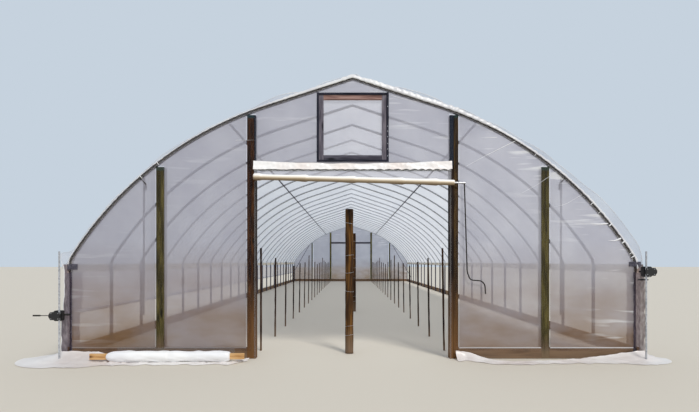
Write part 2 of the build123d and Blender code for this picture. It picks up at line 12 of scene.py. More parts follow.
import bmesh
import bpy
import numpy as np
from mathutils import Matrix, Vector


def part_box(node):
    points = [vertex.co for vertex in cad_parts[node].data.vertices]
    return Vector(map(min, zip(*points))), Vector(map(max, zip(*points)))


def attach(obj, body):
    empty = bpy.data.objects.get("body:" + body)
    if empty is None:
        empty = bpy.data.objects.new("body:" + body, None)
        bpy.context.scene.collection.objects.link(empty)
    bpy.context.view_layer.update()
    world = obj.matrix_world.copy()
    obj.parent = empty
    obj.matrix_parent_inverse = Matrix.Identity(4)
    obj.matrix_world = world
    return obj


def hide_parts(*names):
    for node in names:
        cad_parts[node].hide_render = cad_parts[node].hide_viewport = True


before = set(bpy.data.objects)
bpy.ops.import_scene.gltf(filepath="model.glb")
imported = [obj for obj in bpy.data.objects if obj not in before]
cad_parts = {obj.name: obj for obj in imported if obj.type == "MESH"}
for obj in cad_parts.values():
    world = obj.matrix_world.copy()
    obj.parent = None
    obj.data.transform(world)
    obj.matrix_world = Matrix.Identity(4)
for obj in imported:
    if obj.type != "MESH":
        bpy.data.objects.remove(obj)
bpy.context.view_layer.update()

print("CAD nodes:", len(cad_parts))

# %% [markdown]
# ## The sizes that everything shares
# A bow is a straight leg, a short bend at the hip, one large roof arc and a straight rafter to
# the ridge, each tangent to the next. The same few sizes give the line of the tube, of the
# channel that runs along it and of the film over it, so those are worked out once here.

# %% Sizes of the tunnel
WIDTH = 9.144  # thirty feet between the middles of the legs
RIDGE = 4.535  # the middle of the tube at the ridge
BAY, BAYS = 1.2192, 24  # four feet from bow to bow
LEG_FOOT, LEG_TOP = 1.1, 1.5  # a bow's straight leg, from inside its post up to the bend
HIP_RADIUS, HIP_SLOPE = 0.3, radians(57.5)
RAFTER_REACH = 1.4  # how far from the ridge the straight rafter ends
BOW_R, POST_R = 0.02415, 0.03015  # outer radius of a bow's tube and of a ground post
POST_TOP = 1.4
FILM, BOARD = 0.003, 0.038  # the thickness of the CAD's film and of every board
HIP_TOP, HIP_BOARD = 1.525, 0.14  # the top of the hip board, and its height
DOOR_HALF, DOOR_TOP, HEADER_TOP = 1.572, 3.048, 3.183
GAP = 0.0003  # a sliver of air, so that no two faces lie in one plane
FACE = 0.03745  # from an end bow's centre to the face of the end wall
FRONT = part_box("front_bow")[0][1] + BOW_R
REAR = FRONT + BAY * BAYS
HALF = WIDTH / 2
SIDES = (("left", -1), ("right", 1))  # each side's name, and the sign of its X
ACROSS, ALONG, UP = 0, 1, 2  # the axes X, Y and Z, as one sees them from the door
print("length between the end bows", round(REAR - FRONT, 2))

# %% The slope of the rafter
BEND_X = HALF - HIP_RADIUS * (1 - sin(HIP_SLOPE))
BEND_Z = LEG_TOP + HIP_RADIUS * cos(HIP_SLOPE)


def rafter_slope():
    """The slope at which the roof arc runs on into the rafter and meets the ridge's height."""
    low, high = 0.0, HIP_SLOPE
    for _ in range(50):
        slope = (low + high) / 2
        rise = (BEND_X - RAFTER_REACH) * tan((HIP_SLOPE + slope) / 2)
        if BEND_Z + rise + RAFTER_REACH * tan(slope) < RIDGE:
            low = slope
        else:
            high = slope
    return slope


RIDGE_SLOPE = rafter_slope()
ROOF_R = (BEND_X - RAFTER_REACH) / (sin(HIP_SLOPE) - sin(RIDGE_SLOPE))
ARC_X = BEND_X - ROOF_R * sin(HIP_SLOPE)
ARC_Z = BEND_Z - ROOF_R * cos(HIP_SLOPE)
EAVE_X, EAVE_Z = HALF + POST_R + 2 * GAP + BOARD, HIP_TOP + GAP
print("roof radius", round(ROOF_R, 3), "rafter slope", round(RIDGE_SLOPE * 180 / pi, 2))


# %% The line of a bow, and of the film over it
def half_bow(offset, foot, hip_steps=8, roof_steps=28, rafter_steps=4):
    """Points (x, z) of the right half bow moved outwards by offset, from its foot to the ridge."""
    points = [(HALF + offset, foot), (HALF + offset, LEG_TOP)]
    for i in range(1, hip_steps + 1):
        turn = (pi / 2 - HIP_SLOPE) * i / hip_steps
        radius = HIP_RADIUS + offset
        points.append((HALF - HIP_RADIUS + radius * cos(turn), LEG_TOP + radius * sin(turn)))
    for i in range(1, roof_steps + 1):
        slope = HIP_SLOPE + (RIDGE_SLOPE - HIP_SLOPE) * i / roof_steps
        radius = ROOF_R + offset
        points.append((ARC_X + radius * sin(slope), ARC_Z + radius * cos(slope)))
    end = points[-1]
    ridge = RIDGE + offset / cos(RIDGE_SLOPE)
    for i in range(1, rafter_steps + 1):
        k = 1 - i / rafter_steps
        points.append((end[0] * k, ridge + (end[1] - ridge) * k))
    return points


def both_sides(half):
    """A half line and its mirror image, from the right foot over the ridge to the left foot."""
    return half + [(-x, z) for x, z in reversed(half[:-1])]


def bow_line(offset, foot=LEG_FOOT, **steps):
    """A whole bow's line, moved outwards by offset, as an array of points (x, z)."""
    return np.array(both_sides(half_bow(offset, foot, **steps)))


def film_line(offset, hem=HIP_TOP - HIP_BOARD, arc_steps=30):
    """The roof film's line: up the hip board, straight to the bow, and over it to the ridge."""
    seat = BOW_R + GAP
    reach = hypot(EAVE_X - ARC_X, EAVE_Z - ARC_Z)
    slope = atan2(EAVE_X - ARC_X, EAVE_Z - ARC_Z) - acos((ROOF_R + seat) / reach)
    radius = ROOF_R + seat + offset
    eave = (EAVE_X + offset, EAVE_Z + offset * cos(slope) / (1 + sin(slope)))
    lift = (ARC_X + radius * sin(slope), ARC_Z + radius * cos(slope))
    half = [(eave[0], hem + (eave[1] - hem) * k) for k in (0, 0.5, 1)]
    half += [tuple(np.array(eave) + (np.array(lift) - eave) * k) for k in (0.25, 0.5, 0.75)]
    for i in range(arc_steps + 1):
        turn = slope + (RIDGE_SLOPE - slope) * i / arc_steps
        half.append((ARC_X + radius * sin(turn), ARC_Z + radius * cos(turn)))
    end, ridge = half[-1], RIDGE + (seat + offset) / cos(RIDGE_SLOPE)
    half += [(end[0] * k, ridge + (end[1] - ridge) * k) for k in (0.8, 0.6, 0.4, 0.2, 0)]
    return np.array(both_sides(half))


print("points in a bow's line", len(bow_line(0.0)), "and in the film's", len(film_line(0.0)))

# %% [markdown]
# ## The camera
# The photograph is a level one-point view from a little above chest height, seven metres in
# front of the doorway. A short lens and a small upward shift give the same frame, with no tilt,
# so the posts stay upright as they do in the picture.

# %% Camera
EYE_HEIGHT, EYE_AWAY = 1.565, 7.33  # above the ground, and in front of the front bow
EYE_LEFT = 0.037  # of the tunnel's middle
camera_data = bpy.data.cameras.new("camera")
camera_data.lens, camera_data.sensor_width, camera_data.sensor_fit = 23.2, 36.0, "HORIZONTAL"
camera_data.shift_x, camera_data.shift_y = -0.0013, 0.080
camera_data.clip_end = 400
camera = bpy.data.objects.new("camera", camera_data)
camera.location = (-EYE_LEFT, FRONT - EYE_AWAY, EYE_HEIGHT)
camera.rotation_euler = (pi / 2, 0, 0)
bpy.context.collection.objects.link(camera)
bpy.context.scene.camera = camera
bpy.context.scene.view_settings.view_transform = "Standard"
print("camera at", tuple(round(v, 2) for v in camera.location))

# %% [markdown]
# ## Small helpers
# One function turns an sRGB hex colour to the linear values that shaders use, one adds a node
# with its settings and links, and a few put a finished mesh in the scene: on its body, at the
# origin.


# %% Helpers for colours and nodes
def linear(code):
    """A colour written as sRGB hex, as linear RGBA."""
    parts = [int(code[i : i + 2], 16) / 255 for i in (1, 3, 5)]
    return tuple(c / 12.92 if c <= 0.04045 else ((c + 0.055) / 1.055) ** 2.4 for c in parts) + (1,)


def add(tree, kind, inputs=(), stops=(), **settings):
    """Adds a node with its settings and colour stops, and links or sets its inputs by name."""
    made = tree.nodes.new(kind)
    for name, value in settings.items():
        setattr(made, name, value)
    for i, (position, code) in enumerate(stops):
        marks = made.color_ramp.elements
        mark = marks[i] if i < len(marks) else marks.new(position)
        mark.position, mark.color = position, linear(code)
    for key, value in dict(inputs).items():
        if isinstance(value, bpy.types.NodeSocket):
            tree.links.new(value, made.inputs[key])
        else:
            made.inputs[key].default_value = value
    return made


print("linear mid grey", [round(v, 3) for v in linear("#808080")])


# %% Helpers for meshes and pieces
def new_object(name, mesh):
    """An object in the scene for a mesh."""
    piece = bpy.data.objects.new(name, mesh)
    bpy.context.collection.objects.link(piece)
    return piece


def grid_mesh(name, grids, smooth=True, closed=False):
    """A mesh of one or more grids of points, each rows x columns x 3, merged where they meet."""
    mesh = bpy.data.meshes.new(name)
    work = bmesh.new()
    for points in grids:
        rows, columns = points.shape[:2]
        made = [[work.verts.new(points[r, c]) for c in range(columns)] for r in range(rows)]
        for r in range(rows - 1):
            for c in range(columns - 1):
                work.faces.new((made[r][c], made[r][c + 1], made[r + 1][c + 1], made[r + 1][c]))
    bmesh.ops.remove_doubles(work, verts=work.verts, dist=1e-5)
    bmesh.ops.dissolve_degenerate(work, edges=work.edges, dist=1e-6)
    if closed:
        bmesh.ops.recalc_face_normals(work, faces=work.faces)
    for face in work.faces:
        face.smooth = smooth
    work.to_mesh(mesh)
    work.free()
    return mesh


def finish_piece(piece, material, slot, *nodes):
    """Puts a finished piece on the tunnel's one body, in place of the CAD nodes named."""
    if material is not None:
        piece.data.materials.clear()
        piece.data.materials.append(material)
    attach(piece, "root")
    if nodes:
        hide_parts(*nodes)
    return piece


def dress(material, *nodes):
    """Gives CAD nodes whose shape stays as it is their material."""
    for node in nodes:
        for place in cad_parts[node].material_slots:
            place.material = material


def ripples(a, b, wavelength, height, seed, spread=0.5, bands=7):
    """Soft irregular waves over two coordinates, running mainly along the first one.

    Each band is a straight wave whose direction, length and phase are drawn at random.
    """
    random = np.random.default_rng(seed)
    total = np.zeros(np.broadcast(a, b).shape)
    for _ in range(bands):
        turn = random.normal(0, spread)
        length = wavelength * random.uniform(0.6, 1.7)
        phase = random.uniform(0, 2 * pi)
        total += np.sin(2 * pi / length * (a * cos(turn) + b * sin(turn)) + phase)
    return total * height / bands**0.5


print("a row of ripples:", np.round(ripples(np.linspace(0, 1, 5), np.zeros(5), 0.3, 1.0, 1), 2))

# %% [markdown]
# ## Geometry Nodes: one tree for every long tube
# Twenty-five bows of the same bend stand four feet apart, so the bow is drawn once as a line and
# a node tree does the rest. It turns the line into a curve, gives it a round section, repeats
# it along the tunnel and makes the copies real, because the export drops instances.


# %% How a tree is opened, closed and run
def new_tree(name, **kinds):
    """An empty Geometry Nodes tree with named inputs; returns it with the inputs' sockets."""
    tree = bpy.data.node_groups.new(name, "GeometryNodeTree")
    tree.interface.new_socket("Geometry", in_out="INPUT", socket_type="NodeSocketGeometry")
    for label, kind in kinds.items():
        tree.interface.new_socket(label, in_out="INPUT", socket_type=f"NodeSocket{kind}")
    tree.interface.new_socket("Geometry", in_out="OUTPUT", socket_type="NodeSocketGeometry")
    return tree, add(tree, "NodeGroupInput").outputs


def close_tree(tree, geometry, material, smooth=True):
    """Ends a tree: make the copies real, set the shading and the material."""
    real = add(tree, "GeometryNodeRealizeInstances", {"Geometry": geometry}).outputs[0]
    shading = {"Geometry": real, "Shade Smooth": smooth}
    shaded = add(tree, "GeometryNodeSetShadeSmooth", shading).outputs[0]
    finish = {"Geometry": shaded, "Material": material}
    finished = add(tree, "GeometryNodeSetMaterial", finish).outputs[0]
    add(tree, "NodeGroupOutput", {"Geometry": finished})


def run_tree(name, tree, points, edges, values):
    """Runs a tree on a line or a set of points, and returns the result as a plain mesh object."""
    mesh = bpy.data.meshes.new(name)
    mesh.from_pydata([tuple(p) for p in points], edges, [])
    source = new_object(name + "_line", mesh)
    modifier = source.modifiers.new("build", "NODES")
    modifier.node_group = tree
    for item in tree.interface.items_tree:
        if item.in_out == "INPUT" and item.name in values:
            modifier[item.identifier] = values[item.name]
    graph = bpy.context.evaluated_depsgraph_get()
    result = bpy.data.meshes.new_from_object(source.evaluated_get(graph))
    source.modifiers.remove(modifier)
    bpy.data.objects.remove(source)
    result.name = name
    return new_object(name, result)


# %% The tree that bends and repeats tubes
TUBES, given = new_tree(
    "tubes_along_the_tunnel",
    Radius="Float", Sides="Int", Count="Int", Spacing="Float", Material="Material",
)
curve = add(TUBES, "GeometryNodeMeshToCurve", {"Mesh": given["Geometry"]}).outputs[0]
ring = {"Resolution": given["Sides"], "Radius": given["Radius"]}
ring = add(TUBES, "GeometryNodeCurvePrimitiveCircle", ring).outputs[0]
tube = {"Curve": curve, "Profile Curve": ring, "Fill Caps": True}
tube = add(TUBES, "GeometryNodeCurveToMesh", tube).outputs[0]
step = add(TUBES, "ShaderNodeCombineXYZ", {"Y": given["Spacing"]}).outputs[0]
places = add(TUBES, "GeometryNodeMeshLine", {"Count": given["Count"], "Offset": step}).outputs[0]
copies = {"Points": places, "Instance": tube}
copies = add(TUBES, "GeometryNodeInstanceOnPoints", copies).outputs[0]
close_tree(TUBES, copies, given["Material"])


def chain_edges(count):
    """The edges that join each point of a line to the next."""
    return [(i, i + 1) for i in range(count - 1)]


def tubes(name, points, radius, sides, count, material, slot, *nodes, edges=None):
    """Round tube along a line of points, or along the edges given, repeated each bay."""
    values = {"Radius": radius, "Sides": sides, "Count": count, "Spacing": BAY}
    values["Material"] = material
    piece = run_tree(name, TUBES, points, edges or chain_edges(len(points)), values)
    print(name, len(piece.data.polygons), "faces")
    return finish_piece(piece, None, slot, *nodes)


print("nodes in this tree:", len(TUBES.nodes))

# %% [markdown]
# ## Geometry Nodes: small fittings and spring wire
# Bolts, clamps and staples are the same small solid at many places, so a second tree puts one
# at each point of a list. A third tree bends a wire to and fro along a channel: this is the
# springy zigzag wire that presses film into its aluminium channel. It moves each point of the
# line sideways by a sine of the distance along it.

# %% The tree that sets small fittings at points
FITTINGS, given = new_tree(
    "fittings_at_points",
    Radius="Float", Length="Float", Sides="Int", Turn="Rotation", Material="Material",
)
head = {"Vertices": given["Sides"], "Radius": given["Radius"], "Depth": given["Length"]}
head = add(FITTINGS, "GeometryNodeMeshCylinder", head).outputs["Mesh"]
copies = {"Points": given["Geometry"], "Instance": head, "Rotation": given["Turn"]}
copies = add(FITTINGS, "GeometryNodeInstanceOnPoints", copies).outputs[0]
close_tree(FITTINGS, copies, given["Material"], smooth=False)


def fittings(name, points, material, slot, radius, length, sides, turn):
    """One small round or many-sided fitting at each point, its length along the turned Z."""
    values = {"Radius": radius, "Length": length, "Sides": sides, "Turn": turn}
    values["Material"] = material
    piece = run_tree(name, FITTINGS, points, [], values)
    print(name, len(points), "fittings")
    return finish_piece(piece, None, slot)


print("nodes in this tree:", len(FITTINGS.nodes))

# %% The tree that bends spring wire
WIRE_SIDES = 5  # a wire this thin is only a pixel wide, so few sides are enough
tree, given = new_tree(
    "spring_wire_in_channel",
    Pitch="Float", Swing="Float", Radius="Float", Steps="Float", Across="Vector",
    Material="Material",
)
curve = add(tree, "GeometryNodeMeshToCurve", {"Mesh": given["Geometry"]}).outputs[0]
step = {0: given["Pitch"], 1: given["Steps"]}
step = add(tree, "ShaderNodeMath", step, operation="DIVIDE").outputs[0]
fine = {"Curve": curve, "Length": step}
fine = add(tree, "GeometryNodeResampleCurve", fine, mode="LENGTH").outputs[0]
swing = add(tree, "GeometryNodeSplineParameter").outputs["Length"]
for operation, other in (
    ("DIVIDE", given["Pitch"]), ("MULTIPLY", 2 * pi), ("SINE", 0.0), ("MULTIPLY", given["Swing"]),
):
    swing = add(tree, "ShaderNodeMath", {0: swing, 1: other}, operation=operation).outputs[0]
side = {0: add(tree, "GeometryNodeInputTangent").outputs[0], 1: given["Across"]}
side = add(tree, "ShaderNodeVectorMath", side, operation="CROSS_PRODUCT").outputs[0]
shift = {0: side, "Scale": swing}
shift = add(tree, "ShaderNodeVectorMath", shift, operation="SCALE").outputs[0]
bent = add(tree, "GeometryNodeSetPosition", {"Geometry": fine, "Offset": shift}).outputs[0]
ring = {"Resolution": WIRE_SIDES, "Radius": given["Radius"]}
ring = add(tree, "GeometryNodeCurvePrimitiveCircle", ring).outputs[0]
wire = {"Curve": bent, "Profile Curve": ring, "Fill Caps": True}
wire = add(tree, "GeometryNodeCurveToMesh", wire).outputs[0]
close_tree(tree, wire, given["Material"])
SPRING_WIRE = tree


def spring_wire(name, points, across, pitch, swing, radius, steps):
    """Zigzag wire along a line of points; across is the way that the channel's mouth faces."""
    values = {"Pitch": pitch, "Swing": swing, "Radius": radius, "Steps": steps}
    values.update({"Across": across, "Material": spring_steel})
    piece = run_tree(name, SPRING_WIRE, points, chain_edges(len(points)), values)
    print(name, len(piece.data.polygons), "faces")
    return finish_piece(piece, None, "aluminium_channel")


print("nodes in this tree:", len(SPRING_WIRE.nodes))

# %% [markdown]
# ## Metal finishes
# The bows are hot-dip galvanised steel tube: a grey zinc coat whose crystals show as soft
# patches a few centimetres wide. It is bright when new and dulls in the weather, and the tunnel
# has four greys of it: new, dulled, one painted nearly white for the light that falls on the bows
# deep inside, and a weathered lead grey with painted shade for the end bow, the posts, the
# purlins and the braces. The film channels are extruded aluminium, drawn along their length. Cranks
# are plain dark steel, and the spring wire has a dark plastic coat. A noise pattern in the size
# of a crystal moves colour, gloss and bump together, as it does on the real coat.

# %% The tools for every material
def new_material(name):
    """An empty material; returns it with its tree, output node and Object coordinates."""
    material = bpy.data.materials.new(name)
    material.use_nodes = True
    tree = material.node_tree
    tree.nodes.clear()
    coords = add(tree, "ShaderNodeTexCoord").outputs["Object"]
    return material, tree, add(tree, "ShaderNodeOutputMaterial"), coords


def patches(tree, coords, size, detail=3.0, stretch=(1, 1, 1)):
    """A pattern of soft patches size metres wide, drawn out along an axis where asked."""
    scale = tuple(1 / (size * s) for s in stretch)
    placed = add(tree, "ShaderNodeMapping", {"Vector": coords, "Scale": scale})
    inputs = {"Vector": placed.outputs[0], "Scale": 1.0, "Detail": detail}
    return add(tree, "ShaderNodeTexNoise", inputs).outputs["Fac"]


def spread(colours, low=0.34, high=0.66):
    """Colour stops spread evenly over the part of a pattern's range that it really uses."""
    return [(low + (high - low) * i / (len(colours) - 1), code) for i, code in enumerate(colours)]


print("stops of three colours:", spread(["#000000", "#808080", "#FFFFFF"]))


# %% Metal materials
def metal(name, colours, size, roughness, metallic, stretch=(1, 1, 1)):
    """Metal or hard plastic: patches size metres wide change its colour, gloss and surface."""
    material, tree, output, coords = new_material(name)
    pattern = patches(tree, coords, size, stretch=stretch)
    colour = add(tree, "ShaderNodeValToRGB", {"Fac": pattern}, stops=spread(colours))
    low, high = roughness
    rough = add(tree, "ShaderNodeMapRange", {"Value": pattern, "To Min": low, "To Max": high})
    grain = patches(tree, coords, size / 6, stretch=stretch)
    bumps = add(tree, "ShaderNodeBump", {"Height": grain, "Strength": 0.4, "Distance": 0.0003})
    inputs = {
        "Base Color": colour.outputs[0],
        "Roughness": rough.outputs[0],
        "Metallic": metallic,
        "Normal": bumps.outputs[0],
    }
    shader = add(tree, "ShaderNodeBsdfPrincipled", inputs)
    tree.links.new(shader.outputs[0], output.inputs[0])
    return material


CRYSTAL = 0.03  # zinc freezes in crystals whose patches show about three centimetres wide
# Fresh zinc is a light even grey with a soft gleam. Its skin of oxide lowers its metallic look.
zinc = metal(
    "hot_dip_galvanised_steel", ["#9A9DA3", "#B4B6BB", "#CBCDD0"], CRYSTAL, (0.4, 0.6), 0.3
)
# Zinc that has stood in the wet for some years is duller and a little bluer.
dull_zinc = metal(
    "dull_galvanised_steel", ["#55575D", "#6E7076", "#888A90"], CRYSTAL, (0.5, 0.7), 0.3
)
# Zinc under the film, painted nearly white for the light that falls on it there from all round.
sunlit_zinc = metal(
    "sunlit_galvanised_steel", ["#B6B9C0", "#C8CBD1", "#D8DADF"], CRYSTAL, (0.4, 0.6), 0.15
)
# Weathered zinc, painted lead grey and mat with the shade that the end bow and the posts stand in:
# it draws their dark lines.
weathered_shaded_zinc = metal(
    "weathered_shaded_galvanised_steel", ["#3A3843", "#504D59", "#67646F"], CRYSTAL, (0.5, 0.7), 0.4
)
# Extruded aluminium has die lines along its length, which draw its highlight out.
aluminium = metal(
    "extruded_aluminium", ["#85817D", "#A09D99", "#B7B4B0"], 0.012, (0.3, 0.48), 0.85, (1, 12, 1)
)
# Bare steel darkened by its own mill scale, with brown bloom where it has begun to rust.
dark_steel = metal(
    "weathered_dark_steel", ["#1C1C1E", "#2A2928", "#43382F"], 0.02, (0.45, 0.7), 0.6
)
# The wire's coat is plastic, so it isn't metallic: it shows as dull dark dashes on the film.
spring_steel = metal("plastic_coated_spring_wire", ["#35322F", "#57524B"], 0.01, (0.4, 0.55), 0.0)
# Bright zinc plate is smooth, and gives thin rods and wires a clear pale line.
white_rod = metal(
    "bright_zinc_plated_rod", ["#A9ABAF", "#C9CACD", "#DADADC"], 0.02, (0.25, 0.4), 0.8
)
print("metals:", len(bpy.data.materials))

# %% [markdown]
# ## Wood finishes
# The posts and boards are sawn softwood, pressure treated, then left outside. Sawn wood shows
# long grain streaks a few millimetres wide and darker knots. A pattern that is stretched
# thirty-five times along the board makes the streaks, and the knots are cells of a Voronoi
# pattern. The door posts have weathered to dark brown, the side posts keep their green tint.


# %% Wood materials
def wood(name, axis, colours, knot, grain=0.006, dirt=None, shaded_top_band=None):
    """Sawn wood with its grain along an axis: streaks, knots, and splashed soil near the ground.

    dirt is the soil's colour and the height it reaches. The top band is a height and a colour:
    above it the wood turns dark blue-green, a painted shade together with the tint of film doubled
    over the top.
    """
    material, tree, output, coords = new_material(name)
    streaks = patches(tree, coords, grain, 4, tuple(35 if i == axis else 1 for i in range(3)))
    broad = patches(tree, coords, grain * 9, 2, tuple(9 if i == axis else 1 for i in range(3)))
    both = add(tree, "ShaderNodeMath", {0: streaks, 1: broad}, operation="ADD")
    level = add(tree, "ShaderNodeMath", {0: both.outputs[0], 1: 0.5}, operation="MULTIPLY")
    stops = spread(colours, 0.4, 0.6)
    colour = add(tree, "ShaderNodeValToRGB", {"Fac": level.outputs[0]}, stops=stops).outputs[0]
    squeeze = tuple(2.0 if i == axis else 7.0 for i in range(3))  # a knot in 0.5 m by 0.14 m
    cells = add(tree, "ShaderNodeMapping", {"Vector": coords, "Scale": squeeze})
    knots = add(tree, "ShaderNodeTexVoronoi", {"Vector": cells.outputs[0], "Scale": 1.0})
    height = add(tree, "ShaderNodeSeparateXYZ", {0: coords}).outputs["Z"]
    layers = [(knots.outputs["Distance"], (0.08, 0.2), (1.0, 0.0), knot)]
    if dirt:
        edge = add(tree, "ShaderNodeMath", {0: broad, 1: 0.5}, operation="MULTIPLY")
        above = add(tree, "ShaderNodeMath", {0: height, 1: edge.outputs[0]}, operation="SUBTRACT")
        layers.append((above.outputs[0], (-0.2, dirt[1]), (0.8, 0.0), dirt[0]))
    if shaded_top_band:
        layers.append((height, (shaded_top_band[0], shaded_top_band[0] + 0.03), (0.0, 0.9), shaded_top_band[1]))
    for value, (start, end), (first, last), code in layers:
        inputs = {"Value": value, "From Min": start, "From Max": end}
        inputs.update({"To Min": first, "To Max": last})
        part = add(tree, "ShaderNodeMapRange", inputs).outputs[0]
        mix = {0: part, 6: colour, 7: linear(code)}
        colour = add(tree, "ShaderNodeMix", mix, data_type="RGBA").outputs[2]
    rough = add(tree, "ShaderNodeMapRange", {"Value": streaks, "To Min": 0.7, "To Max": 0.9})
    bump = add(tree, "ShaderNodeBump", {"Height": streaks, "Strength": 0.5, "Distance": 0.0015})
    inputs = {"Base Color": colour, "Roughness": rough.outputs[0], "Normal": bump.outputs[0]}
    inputs["Specular IOR Level"] = 0.2
    shader = add(tree, "ShaderNodeBsdfPrincipled", inputs)
    tree.links.new(shader.outputs[0], output.inputs[0])
    return material


SOIL, EARTH = ("#7A6552", 0.15), ("#7A5632", 1.2)  # splashed soil, and how high it reaches
# Posts that carry the door: weathered nearly black at the heart of the grain, earth at the foot,
# and at the top a dark blue-green band of painted shade with the tint of film doubled over it.
brown_post = wood(
    "weathered_treated_pine", UP, ["#170A03", "#2E1808", "#503014"], "#0F0A06", dirt=EARTH,
    shaded_top_band=(3.88, "#1F3B40"),
)
# The right door post is more olive, with the same band of painted shade at its top.
olive_post = wood(
    "weathered_olive_pine", UP, ["#1A1104", "#33240B", "#513D1A"], "#110E05", dirt=EARTH,
    shaded_top_band=(3.88, "#1A3330"),
)
# The jamb boards are painted nearly black for the doorway's shade that they lie in.
shade_dark_jamb = wood(
    "shade_darkened_treated_jamb", UP, ["#120A08", "#1F1512", "#36271F"], "#0E0A08", dirt=EARTH,
    shaded_top_band=(3.1, "#1C2634"),
)
# Copper salts leave the side posts green under the film; their top band is painted shade.
green_post = wood(
    "green_treated_pine", UP, ["#2C2812", "#464020", "#645C30"], "#1D1B0C", dirt=SOIL,
    shaded_top_band=(3.03, "#34423A"),
)
rear_pine = wood("plain_green_pine", UP, ["#3A3820", "#57522F", "#746D42"], "#25230F", dirt=SOIL)
# Boards: brown where the rain reaches them, almost white where they are planed and new.
side_board = wood("sawn_pine_board", ALONG, ["#6A5138", "#8C6F50", "#A98C69"], "#3F2C1C", dirt=SOIL)
cross_board = wood(
    "sawn_pine_cross_board", ACROSS, ["#4C3524", "#6F5034", "#8E6C48"], "#2E2016", dirt=SOIL
)
pale_board = wood("planed_pine_board", ALONG, ["#D5CBB8", "#E8E0D0", "#F2ECE0"], "#B59F7C")
batten_wood = wood("fresh_pine_batten", ACROSS, ["#A87A4A", "#C79A66", "#DDB784"], "#6E4826")
# The vent is cedar, fine in its grain: the surround is painted nearly black for the shade that it
# stands in, and the sash is grey and red.
SURROUND_SHADE = (["#14151E", "#20222E", "#302F3B"], "#0F1015", 0.005)
vent_side = wood("shade_darkened_cedar", UP, *SURROUND_SHADE)
vent_side_rail = wood("shade_darkened_cedar_rail", ACROSS, *SURROUND_SHADE)
vent_stile = wood("grey_weathered_cedar", UP, ["#4A4650", "#625D67", "#7C767E"], "#2B2930", 0.005)
vent_top = wood(
    "red_weathered_cedar_rail", ACROSS, ["#6C514C", "#8F6F67", "#A98B83"], "#3A2622", 0.005
)
vent_foot = wood(
    "grey_weathered_cedar_rail", ACROSS, ["#34323C", "#494651", "#5E5B66"], "#1F1E25", 0.005
)
# Stakes are split, not sawn, so they are rough and dark. The poles are peeled trunks, golden brown.
stake_wood = wood(
    "split_hardwood_stake", UP, ["#1E1512", "#34241C", "#503A2B"], "#120D0A", dirt=SOIL
)
pole_wood = wood(
    "peeled_pine_pole", UP, ["#1E130B", "#3F2814", "#6E4B20"], "#130B06", 0.01, dirt=SOIL
)
print("woods:", [m.name for m in bpy.data.materials if "pine" in m.name or "cedar" in m.name])

# %% [markdown]
# ## Film finishes
# The covers are blown polythene film, milky so that it scatters the sun. The side film lets
# nearly half the light straight through, the dusty wall film a quarter, the roof a tenth. The
# rest glows where light comes from behind, and has a soft gloss that shows every fold as a pale
# streak. So the shader mixes Transparent with a body that is part Translucent, part glossy white
# plastic. Where film is rolled or bunched, its many layers are opaque, white on the outside and
# cream where the light comes through.


